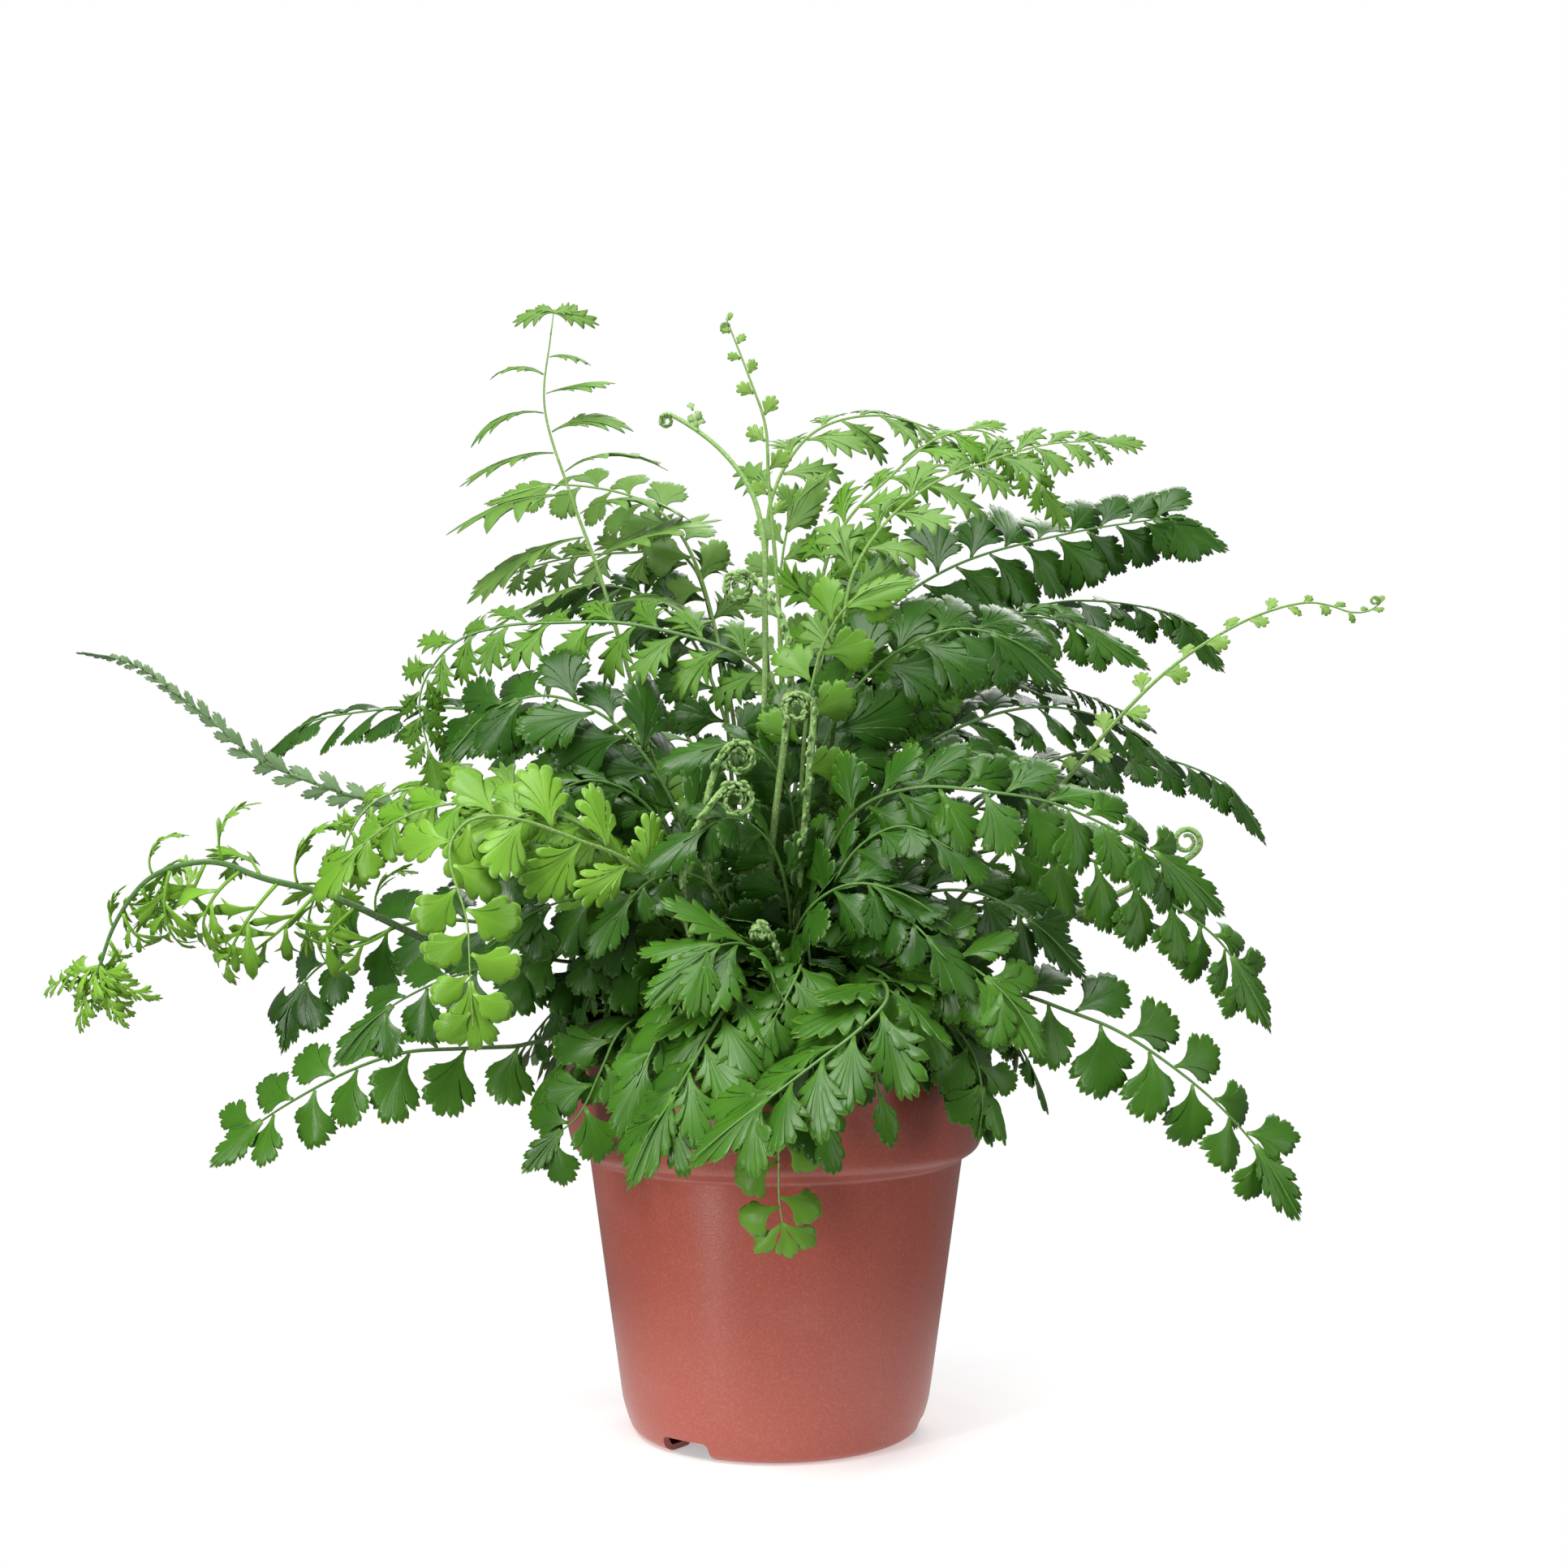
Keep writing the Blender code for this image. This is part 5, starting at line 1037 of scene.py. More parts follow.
def hanging_pinnae(buf, rng, path, tint):
    """The few broad, rounded pinnae of the short frond that hangs down the front of the pot, and its fishtail end."""
    near, down = np.array((0.0, -1.0, 0.12)), np.array((0.0, 0.0, -1.0))
    for height, side, long in ((103.0, 1, 12.0), (100.0, -1, 12.5), (92.5, 1, 13.0), (87.5, -1, 13.0), (77.5, 1, 12.0), (75.5, -1, 11.5)):
        foot = min(path[8:], key=lambda p: abs(p[2] - height))
        angle = math.radians(rng.uniform(66, 78))
        way = unit(down * math.cos(angle) + np.array((side, -0.22, 0.0)) * math.sin(angle))
        n = unit(near + np.array((0.25 * side, 0.0, 0.3)))
        n = unit(n - way * np.dot(n, way))
        blade(buf, rng, (foot, way, unit(np.cross(n, way)), n), long, 0.84, 5, 0.13, 116, 0.0, SCALLOP, 0, tint + rng.uniform(-0.1, 0.1), bend=0.75, cup=0.42, foot=0.3, centre=0.64, lean=0.1, wave=0.05)
    t = unit(path[-1] - path[-3])
    n = unit(near - t * np.dot(near, t))
    frame = (path[-1] - t * 1.5, t, unit(np.cross(n, t)), n)
    for turn, long in ((0.86, 11.0), (-0.86, 10.5), (0.08, 10.0)):
        blade(buf, rng, turned_frame(frame, frame[0], turn), long, 0.62, 3, 0.34, 112, 0.1, TEETH, 0, tint + 0.15, bend=0.45, cup=0.3, foot=0.5, centre=0.66, wave=0.05)


def detail_frond(row, number):
    rng = random.Random(1000 + number)
    buf = Buffer()
    st, fr = row["stations"], row["frames"]
    last = len(st) - 1
    kind, name = row["kind"], row["name"]
    inward = arr(st[0]) - np.array((0.0, 0.0, 3.5))
    path = [inward] + smooth_arr(st, 4)
    if name == "frond_hanging_front":
        path = [p for p in path if p[1] > -70 or p[2] > 69.5]
    n = len(path)
    stout = 0.78 if row["longest"] > 14 else 0.66
    if kind in ("young", "arch", "edge"):
        stout = 0.82
    radii = [stout * (1.0 - 0.74 * (k / (n - 1)) ** 0.9) for k in range(n)]
    if kind == "claw":
        radii = [1.12 * (1.0 - 0.6 * (k / (n - 1)) ** 1.5) for k in range(n)]
    tube(buf, path, radii, 1, rng.uniform(-0.1, 0.1), sides=8, flat=0.86, up=arr(row["face"]))
    frond_tint = rng.uniform(-0.12, 0.12)
    if name not in BARE:
        lower_pinnae(buf, rng, row, frond_tint - 0.1)
    shape = SHAPE_BY_NAME.get(name, kind)
    if name == "frond_hanging_front":
        hanging_pinnae(buf, rng, path, frond_tint + 0.3)
    elif kind in ("claw", "arch"):
        plate_pinnae(buf, rng, row, frond_tint)
    else:
        spaced_pinnae(buf, rng, row, shape, frond_tint)
    t, nrm, b = fr[-1]
    frame = (arr(st[-1] - t * 2.5), arr(t), arr(b), arr(nrm))
    if kind == "arch":
        tube(buf, [path[-2], path[-1], path[-1] + arr(t) * 6.5], [radii[-2], radii[-1], radii[-1] * 0.8], 1, 0.1, sides=8)
        frame = (path[-1] + arr(t) * 5.5, arr(t), arr(b), arr(nrm))
    size = {"fan": 0.95, "lobed": 0.85, "broad": 0.8, "round": 0.95, "fine": 0.8, "claw": 0.8, "arch": 0.45, "narrow": 0.8, "edge": 1.0, "young": 0.9}[kind] * row["longest"]
    size = min(size, 16.0)
    if kind == "claw":
        for turn in (-1.1, -0.7, -0.3, 0.05, 0.4, 0.8, 1.1):
            compound(buf, rng, turned_frame(frame, frame[0], turn, rng.uniform(-0.6, 0.6)), 19.0 * rng.uniform(0.75, 1.0), 0, frond_tint + 0.3, pairs=4, bend=rng.uniform(0.3, 0.9), sweep=0.2, lobes=2, finger=0.42, cut=0.5, stem=0.6, wide=0.6, first=0.16)
    elif kind == "young":
        curl_tip(buf, rng, frame, 1.3, 1.4, 0.5)
    elif kind == "arch":
        for turn, share in ((-1.6, 0.50), (1.6, 0.46), (-1.2, 0.26), (1.1, 0.24)):
            sub = turned_frame(frame, frame[0], turn)
            make_pinna(buf, rng, "arch", sub, row["longest"] * share, frond_tint + 0.15, 1.0)
    elif kind == "fine":
        blade(buf, rng, frame, size, 0.6, 9, 0.62, 134, 0.3, FINGER, 0, frond_tint + 0.25, bend=0.4, cup=0.2, foot=0.5, vein=0.72)
    elif name == "frond_hanging_front":
        pass
    elif kind == "round":
        blade(buf, rng, (arr(st[-1] - t * 12.0), frame[1], frame[2], frame[3]), 18.0, 0.74, 5, 0.40, 126, 0.0, TEETH, 0, frond_tint + 0.2, bend=0.3, cup=0.2, foot=0.6)
    elif kind in BLUNT:
        size = end_size(row)
        end = [arr(q) for q in reversed(st)]
        foot, _ = along_path(end, size)
        way = unit(end[0] - foot)
        n_end = arr(nrm) if name not in FACING else np.array(FACING[name])
        n_end = unit(n_end - way * np.dot(n_end, way))
        blade(buf, rng, (foot + n_end * 0.3, way, unit(np.cross(n_end, way)), n_end), size * 1.08, 0.47, 9, 0.38, 138, 0.58, TEETH, 0, frond_tint + 0.08, bend=0.12, cup=0.12, foot=0.9, centre=0.54, petiole=0.12, vein=0.62)
    else:
        blade(buf, rng, frame, size, 0.46, 9, 0.30, 140, 0.45, SCALLOP, 0, frond_tint + 0.1, bend=0.3, cup=0.2, foot=0.6)
    for points, size_of, kind_of in BESIDE.get(name, ()):
        side_leaf(buf, rng, [np.array(p, float) for p in points], size_of, frond_tint, kind_of)
    # basal leaves
    start = arr(st[0])
    azimuth = math.atan2(start[1], start[0])
    if name not in BARE[:4] and kind != "young" and "lime" not in name:
        for again in range(2 if start[1] < 4.0 or name.startswith("frond_back_") else 1):
            az = azimuth + rng.uniform(-0.6, 0.6)
            green = "fan" if rng.random() < 0.55 else "lobed"
            offshoot(buf, rng, start, az, rng.uniform(34, 54) - 6 * again, rng.uniform(18, 40) + 22 * again, rng.uniform(-0.2, 0.15), rng.uniform(14.0, 18.0), frond_tint - 0.05, green)
        if abs(azimuth + math.pi / 2) < math.radians(42) or name.startswith("frond_back_") or name == "frond_front_right_short":
            # and one that leans out over the rim
            az = azimuth + rng.uniform(-0.45, 0.45)
            offshoot(buf, rng, start, az, rng.uniform(50, 60), rng.uniform(30, 38), rng.uniform(0.15, 0.4), rng.uniform(17.0, 20.5), frond_tint, "fan" if rng.random() < 0.5 else "lobed")
    return buf


def curl_tip(buf, rng, frame, head, turns, radius):
    """A stalk's end that is still rolled up."""
    base, way, across, up = frame
    points = coil(Vector(base), Vector(way), head, turns, 1)
    pts = [base] + smooth_arr([tuple(base)] + [tuple(p) for p in points], 2)[1:]
    tube(buf, pts, [radius * (1 - 0.5 * k / len(pts)) for k in range(len(pts))], 1, 0.2, sides=6)


def detail_crozier(row, number):
    """A stalk, its rolled head with the pinnae packed along it, and pale scales."""
    rng = random.Random(3000 + number)
    buf = Buffer()
    name = row["name"]
    shaggy = name.startswith("crozier_middle") or name.startswith("crozier_small")
    shrink = {"crozier_top_left": 0.62, "crozier_right": 0.95, "crozier_small_front": 0.75}.get(name, 1.0)
    st = [tuple(p) for p in row["stations"]]
    heads = coil(row["stations"][-1], (row["stations"][-1] - row["stations"][-2]).normalized(), row["head"] * shrink, row["turns"] + 0.25, row["way"])
    path = [arr(row["stations"][0]) - np.array((0.0, 0.0, 3.5))] + smooth_arr(st + [tuple(p) for p in heads], 8)
    n = len(path)
    stalk = n - 8 * len(heads)
    thick = 0.62 if name in ("crozier_top_left", "crozier_small_front") else 0.95
    radii = []
    for k in range(n):
        f = max(0.0, (k - stalk) / max(1, n - stalk))
        radii.append((1.15 - (1.15 - thick) * min(1.0, k / max(1, stalk))) * (1.0 - 0.5 * f))
    tube(buf, path, radii, 1, 0.1, sides=10)
    normal = np.array((0.0, -1.0, 0.0))
    step = 2 if shaggy else 5
    for k in range(max(2, stalk - (26 if shaggy else 6)), n - 2, step):
        f = max(0.0, (k - stalk) / max(1, n - stalk))
        t = unit(path[min(k + 1, n - 1)] - path[k - 1])
        out = unit(np.cross(t, normal)) * (1 if row["way"] > 0 else -1)
        for side in (1, -1):
            foot = path[k] + normal * side * radii[k] * 0.7
            lean = unit(normal * side * 0.9 + t * 0.3 + out * rng.uniform(-0.6, 0.5) + np.array([rng.uniform(-0.3, 0.3) for _ in range(3)]))
            size = (1.9 if shaggy else 0.8) * (1.0 - 0.4 * f) * rng.uniform(0.8, 1.25)
            knob(buf, rng, foot, lean, t, size, tint=rng.uniform(-0.2, 0.4))
    if not shaggy:
        # half-open pinnae on the upper stalk
        spots = (stalk - 6, stalk - 34, stalk - 66) if name == "crozier_top_left" else (stalk - 12, stalk - 40)
        for j, k in enumerate(spots):
            k = max(4, k)
            t = unit(path[k + 1] - path[k])
            way = unit(np.array((rng.uniform(-0.2, 0.3), -0.15, 1.0)) + t * 0.3) if name == "crozier_top_left" else unit(np.cross(t, normal) * (1 if j % 2 else -1) + t * 0.5)
            across = unit(np.cross(normal, way))
            for m in range(5):
                turn = 0.0 if m == 4 else (0.8 if m % 2 else -0.8)
                at = path[k] + way * (1.6 + 1.7 * (m // 2) + (1.0 if m == 4 else 0.0))
                sub = turned_frame((path[k], way, across, normal), at, turn, rng.uniform(-0.4, 0.4))
                blade(buf, rng, sub, (3.4 if m < 2 else 2.9) * rng.uniform(0.9, 1.1), 0.85, 3, 0.4, 100, 0.0, SCALLOP, 0, 0.35, bend=0.8, small=True, foot=0.3, centre=0.64)
            tube(buf, [path[k], path[k] + way * 2.4, path[k] + way * 5.0], [0.35, 0.3, 0.2], 1, 0.2, sides=5)
    for k in range(6, n - 3):
        near = k > stalk - 70
        count = (4 if near else 2) if shaggy else (1 if near else (k % 2))
        for _ in range(count):
            t = unit(path[k + 1] - path[k])
            a = rng.uniform(0, math.tau)
            side = unit(np.cross(t, (0.31, 0.2, 0.93)))
            out = side * math.cos(a) + np.cross(t, side) * math.sin(a)
            foot = path[k] + out * radii[k] * 0.9
            w = unit(np.cross(out, t))
            long = rng.uniform(0.6, 1.3) * (1.0 if shaggy else 0.55)
            tip = foot + unit(out * rng.uniform(0.6, 1.2) + t * rng.uniform(-0.3, 0.8)) * long
            wide = 0.09
            verts = [foot + w * wide, foot - w * wide, foot + t * 0.1, tip]
            buf.add(verts, [(0, 1, 3), (1, 2, 3), (2, 0, 3), (1, 0, 2)], 2, [(0.5, 0, rng.uniform(-0.2, 0.2), 0)] * 4)
    return buf


def knob(buf, rng, foot, way, t, size, tint):
    """A rolled pinna: a small ridged coil, standing on a short stalk."""
    side = unit(np.cross(way, t))
    n = 10
    pts, rad = [foot], [size * 0.2]
    for k in range(n + 1):
        f = k / n
        a = 5.4 * f
        r = size * (1.0 - 0.62 * f) * 0.55
        pts.append(foot + way * (size * 0.6 - math.cos(a) * r) + t * (math.sin(a) * r) + side * (0.3 * size * f))
        rad.append(size * 0.30 * (1.0 - 0.5 * f))
    tube(buf, pts, rad, 0, tint, sides=6)


# ---------------------------------------------------------------- materials
class Nodes:
    def __init__(self, name, colour):
        self.mat = bpy.data.materials.new(name)
        self.mat.use_nodes = True
        self.mat.diffuse_color = (*colour, 1)
        self.tree = self.mat.node_tree
        self.tree.nodes.clear()
        self.out = self.tree.nodes.new("ShaderNodeOutputMaterial")

    def add(self, kind, **settings):
        node = self.tree.nodes.new(kind)
        inputs = settings.pop("inputs", {})
        for key, value in settings.items():
            setattr(node, key, value)
        for key, value in inputs.items():
            socket = node.inputs[key]
            if isinstance(value, bpy.types.NodeSocket):
                self.tree.links.new(value, socket)
            else:
                socket.default_value = value
        return node

    def math(self, operation, a, b=0.0, c=0.0, clamp=False):
        return self.add("ShaderNodeMath", operation=operation, use_clamp=clamp, inputs={0: a, 1: b, 2: c}).outputs[0]

    def mix(self, factor, a, b, blend="MIX"):
        node = self.add("ShaderNodeMix", data_type="RGBA", blend_type=blend)
        for socket, value in ((node.inputs[0], factor), (node.inputs[6], a), (node.inputs[7], b)):
            if isinstance(value, bpy.types.NodeSocket):
                self.tree.links.new(value, socket)
            elif socket.type == "RGBA":
                socket.default_value = (*value, 1.0)
            else:
                socket.default_value = value
        return node.outputs[2]

    def range(self, value, low, high, to_low=0.0, to_high=1.0):
        return self.add("ShaderNodeMapRange", inputs={"Value": value, "From Min": low, "From Max": high, "To Min": to_low, "To Max": to_high}).outputs[0]

    def attribute(self, name):
        return self.add("ShaderNodeAttribute", attribute_name=name).outputs["Fac"]

    def noise(self, scale, detail=3.0, vector=None, roughness=0.5):
        node = self.add("ShaderNodeTexNoise", inputs={"Scale": scale, "Detail": detail, "Roughness": roughness})
        vector = vector or self.add("ShaderNodeTexCoord").outputs["Object"]
        self.tree.links.new(vector, node.inputs["Vector"])
        return node.outputs["Fac"]

    def bump(self, height, distance, strength=1.0, normal=None):
        inputs = {"Height": height, "Distance": distance, "Strength": strength}
        if normal:
            inputs["Normal"] = normal
        return self.add("ShaderNodeBump", inputs=inputs).outputs["Normal"]


def leaf_material(name, dark, light, under, margin, roughness=0.34, glow=0.22, through=(0.2, 0.45, 0.03), spots=0.5):
    """A leathery pinna: darker between fine forked veins, paler along the margin, glossy above and dull and paler below."""
    n = Nodes(name, light)
    along, teeth, tint, below = (n.attribute(a) for a in ("along", "teeth", "tint", "under"))
    broad = n.noise(55.0, 2.0)
    fine = n.noise(420.0, 4.0)
    mixer = n.math("ADD", n.math("MULTIPLY", n.math("SUBTRACT", broad, 0.5), 1.3), n.math("ADD", tint, 0.5), clamp=True)
    colour = n.mix(mixer, dark, light)
    # the veins lie between the columns of the blade and fade towards the foot
    vein = n.math("POWER", n.math("ABSOLUTE", n.math("COSINE", n.math("MULTIPLY", teeth, math.pi / 2))), 10.0)
    vein = n.math("MULTIPLY", vein, n.range(along, 0.15, 0.6, 0.35, 1.0))
    colour = n.mix(n.math("MULTIPLY", vein, 0.16), colour, light)
    colour = n.mix(n.math("MULTIPLY", n.range(fine, 0.35, 0.75), 0.16 * spots), colour, dark)
    rib = n.range(along, 0.0, 0.28, 0.35, 0.0)
    colour = n.mix(rib, colour, margin)
    colour = n.mix(n.range(along, 0.955, 1.0, 0.0, 0.62), colour, margin)
    colour = n.mix(n.math("MULTIPLY", below, 0.75), colour, under)
    rough = n.range(fine, 0.3, 0.7, roughness - 0.05, roughness + 0.08)
    rough = n.math("ADD", rough, n.math("MULTIPLY", below, 0.2), clamp=True)
    normal = n.bump(n.math("MULTIPLY", vein, -1.0), 0.0001, 0.14)
    normal = n.bump(fine, 0.00008, 0.35, normal)
    shader = n.add("ShaderNodeBsdfPrincipled", inputs={"Base Color": colour, "Roughness": rough, "Normal": normal, "IOR": 1.45, "Specular IOR Level": 0.42})
    back = n.add("ShaderNodeBsdfTranslucent", inputs={"Color": n.mix(0.5, colour, through), "Normal": normal})
    both = n.add("ShaderNodeMixShader", inputs={0: glow, 1: shader.outputs[0], 2: back.outputs[0]})
    n.tree.links.new(both.outputs[0], n.out.inputs[0])
    return n.mat


def stem_material(name, low, high, hairy=0.0):
    """A stalk: brown near the crown, green above, with fine lengthwise ridges and specks."""
    n = Nodes(name, high)
    along, tint = n.attribute("along"), n.attribute("tint")
    grain = n.noise(260.0, 3.0)
    fine = n.noise(1400.0, 3.0)
    fade = n.math("ADD", n.range(along, 0.02, 0.45), n.math("MULTIPLY", n.math("SUBTRACT", grain, 0.5), 0.5), clamp=True)
    colour = n.mix(fade, low, high)
    colour = n.mix(n.math("MULTIPLY", n.range(fine, 0.5, 0.75), 0.4 + 0.3 * hairy), colour, [min(1.0, c * 1.7 + 0.05) for c in high])
    colour = n.mix(n.math("MULTIPLY", n.range(grain, 0.6, 0.8), 0.3), colour, low)
    ridge = n.math("SINE", n.math("MULTIPLY", n.attribute("teeth"), math.pi))
    normal = n.bump(ridge, 0.0001, 0.4)
    normal = n.bump(fine, 0.0002, 0.6, normal)
    shader = n.add("ShaderNodeBsdfPrincipled", inputs={"Base Color": colour, "Roughness": n.range(grain, 0.3, 0.7, 0.36 + 0.2 * hairy, 0.55 + 0.2 * hairy), "Normal": normal})
    n.tree.links.new(shader.outputs[0], n.out.inputs[0])
    return n.mat


def scale_material():
    n = Nodes("crozier_scale", (0.4, 0.3, 0.15))
    tint = n.attribute("tint")
    colour = n.mix(n.math("ADD", tint, 0.5), (0.42, 0.42, 0.16), (0.30, 0.20, 0.09))
    shader = n.add("ShaderNodeBsdfPrincipled", inputs={"Base Color": colour, "Roughness": n.range(n.noise(300.0), 0.3, 0.7, 0.5, 0.7)})
    back = n.add("ShaderNodeBsdfTranslucent", inputs={"Color": colour})
    both = n.add("ShaderNodeMixShader", inputs={0: 0.3, 1: shader.outputs[0], 2: back.outputs[0]})
    n.tree.links.new(both.outputs[0], n.out.inputs[0])
    return n.mat


def pot_material():
    """Matte recycled plastic: fine speckle, faint cloudiness, light scuffs low down."""
    n = Nodes("pot_terracotta_plastic", (0.4, 0.1, 0.07))
    place = n.add("ShaderNodeTexCoord").outputs["Object"]
    cloud = n.noise(16.0, 3.0, place)
    speck = n.noise(1500.0, 2.0, place)
    dust = n.noise(38.0, 6.0, place, 0.7)
    height = n.add("ShaderNodeSeparateXYZ", inputs={0: place}).outputs["Z"]
    colour = n.mix(cloud, (0.335, 0.070, 0.045), (0.385, 0.085, 0.057))
    colour = n.mix(n.math("MULTIPLY", n.range(speck, 0.5, 0.8), 0.4), colour, (0.52, 0.17, 0.13))
    colour = n.mix(n.math("MULTIPLY", n.range(speck, 0.5, 0.25), 0.35), colour, (0.28, 0.058, 0.042))
    scuff = n.math("MULTIPLY", n.range(n.noise(240.0, 5.0, place, 0.7), 0.66, 0.74), n.range(height, 0.03, 0.0, 0.0, 0.7))
    colour = n.mix(scuff, colour, (0.62, 0.42, 0.36))
    colour = n.mix(n.math("MULTIPLY", n.range(dust, 0.55, 0.8), 0.14), colour, (0.55, 0.26, 0.2))
    rough = n.range(cloud, 0.3, 0.7, 0.27, 0.34)
    normal = n.bump(speck, 0.0001, 0.3)
    normal = n.bump(dust, 0.0003, 0.12, normal)
    shader = n.add("ShaderNodeBsdfPrincipled", inputs={"Base Color": colour, "Roughness": rough, "Normal": normal, "Specular IOR Level": 0.6})
    n.tree.links.new(shader.outputs[0], n.out.inputs[0])
    return n.mat


def soil_material(name="potting_soil_surface", dark=(0.012, 0.008, 0.006), light=(0.085, 0.052, 0.03)):
    n = Nodes(name, light)
    grain = n.noise(420.0, 6.0, roughness=0.7)
    lump = n.noise(90.0, 4.0)
    tint = n.attribute("tint")
    colour = n.mix(n.math("ADD", n.math("MULTIPLY", grain, 0.8), n.math("MULTIPLY", tint, 0.7), clamp=True), dark, light)
    colour = n.mix(n.math("MULTIPLY", n.range(lump, 0.5, 0.7), 0.4), colour, dark)
    normal = n.bump(grain, 0.001, 0.8)
    shader = n.add("ShaderNodeBsdfPrincipled", inputs={"Base Color": colour, "Roughness": n.range(grain, 0.3, 0.7, 0.8, 0.97), "Normal": normal})
    n.tree.links.new(shader.outputs[0], n.out.inputs[0])
    return n.mat


# ---------------------------------------------------------------- pot, soil and crown
def revolve(name, profile, steps, materials):
    """A closed body turned from a profile of radius and height in mm that starts and ends on the axis."""
    buf = Buffer()
    verts, data, faces = [], [], []
    inner = profile[1:-1]
    for r, z in inner:
        for m in range(steps):
            a = math.tau * m / steps
            verts.append((r * math.cos(a), r * math.sin(a), z))
            data.append((0, 0, 0, 0))
    first, lastv = len(verts), len(verts) + 1
    verts += [(0, 0, profile[0][1]), (0, 0, profile[-1][1])]
    data += [(0, 0, 0, 0)] * 2
    rings = len(inner)
    for k in range(rings - 1):
        for m in range(steps):
            a, b = k * steps + m, k * steps + (m + 1) % steps
            faces.append((a, a + steps, b + steps, b))
    for m in range(steps):
        faces.append((first, m, (m + 1) % steps))
        a = (rings - 1) * steps
        faces.append((lastv, a + (m + 1) % steps, a + m))
    buf.add(verts, faces, 0, data)
    return buf.mesh(name, materials)


def round_corners(points, sizes, steps=5):
    """A profile with its corners rounded."""
    out = [points[0]]
    for k in range(1, len(points) - 1):
        p, a, b = Vector((*points[k], 0)), Vector((*points[k - 1], 0)), Vector((*points[k + 1], 0))
        r = min(sizes.get(k, 0.0), (a - p).length * 0.45, (b - p).length * 0.45)
        if r <= 0:
            out.append(points[k])
            continue
        q0, q1 = p + (a - p).normalized() * r, p + (b - p).normalized() * r
        for s in range(steps + 1):
            f = s / steps
            c = q0 * (1 - f) ** 2 + p * 2 * f * (1 - f) + q1 * f * f
            out.append((c.x, c.y))
    out.append(points[-1])
    return out


def detail_pot(mat):
    profile = [
        (0.0, 1.4), (12.6, 1.4), (13.8, 5.0), (31.4, 5.0), (32.6, 1.6), (38.2, 1.6), (41.3, 7.0), (43.4, 18.2), (51.3, 76.3), (51.8, 80.0), (57.3, 88.0), (58.9, 99.0), (58.8, 110.0),
        (60.4, 110.0), (60.3, 99.0), (59.2, 86.0), (57.6, 80.6), (53.4, 78.0), (52.9, 77.2), (44.8, 18.0), (43.4, 8.2), (41.0, 1.6), (38.2, 0.0),
        (30.6, 0.0), (29.6, 3.6), (15.6, 3.6), (14.6, 0.0), (0.0, 0.0),
    ]
    sizes = {k: 1.0 for k in range(1, len(profile) - 1)}
    sizes.update({12: 0.6, 13: 0.7, 16: 2.0, 17: 1.0, 18: 0.35, 20: 4.0, 21: 3.0, 22: 1.6, 15: 3.0, 14: 3.0})
    rounded = round_corners(profile, sizes)
    # long straight runs get rings of their own, so that the wall shades evenly
    dense = [rounded[0]]
    for a, b in zip(rounded, rounded[1:]):
        gap = math.hypot(b[0] - a[0], b[1] - a[1])
        n = max(1, round(gap / 6.0))
        dense += [(a[0] + (b[0] - a[0]) * k / n, a[1] + (b[1] - a[1]) * k / n) for k in range(1, n + 1)]
    pot = revolve("pot_body", dense, 160, [mat])
    # moulding marks: the wall is never quite round, and a faint seam runs down the collar
    coords = np.empty(len(pot.data.vertices) * 3)
    pot.data.vertices.foreach_get("co", coords)
    c = coords.reshape(-1, 3)
    a = np.arctan2(c[:, 1], c[:, 0])
    r = np.hypot(c[:, 0], c[:, 1])
    z = c[:, 2] / MM
    seam = np.exp(-(((a + math.radians(101.5)) * 57.0 / 1.6) ** 2)) * (z > 84) * (z < 109) * 0.12 * MM
    grow = 1.0 + (0.0009 * np.sin(3 * a + 1.0) + 0.0006 * np.sin(7 * a)) * (r > 0.03)
    c[:, 0] *= grow
    c[:, 1] *= grow
    c[:, 0] += np.cos(a) * seam * (r > 0.059)
    c[:, 1] += np.sin(a) * seam * (r > 0.059)
    pot.data.vertices.foreach_set("co", c.ravel())
    for angle in NOTCH_ANGLES:
        cutter = notch_cutter(angle)
        boolean = pot.modifiers.new("notch", "BOOLEAN")
        boolean.operation, boolean.object, boolean.solver = "DIFFERENCE", cutter, "EXACT"
        apply_modifier(pot, boolean)
        bpy.data.objects.remove(cutter, do_unlink=True)
    for k in range(3):
        a = math.radians(NOTCH_ANGLES[k] + 60)
        buf = Buffer()
        p = np.array((DRAIN_RING * math.cos(a), DRAIN_RING * math.sin(a), 0.0))
        tube(buf, [p - (0, 0, 2.0), p + (0, 0, 8.0)], [DRAIN_RADIUS, DRAIN_RADIUS], 0, 0, sides=28)
        cutter = buf.mesh("drain", [])
        boolean = pot.modifiers.new("drain", "BOOLEAN")
        boolean.operation, boolean.object, boolean.solver = "DIFFERENCE", cutter, "EXACT"
        apply_modifier(pot, boolean)
        bpy.data.objects.remove(cutter, do_unlink=True)
    pot.data.shade_smooth()
    pot.data.set_sharp_from_angle(angle=math.radians(38))
    return pot


def apply_modifier(obj, modifier):
    graph = bpy.context.evaluated_depsgraph_get()
    graph.update()
    new = bpy.data.meshes.new_from_object(obj.evaluated_get(graph))
    obj.modifiers.remove(modifier)
    old = obj.data
    obj.data = new
    bpy.data.meshes.remove(old)


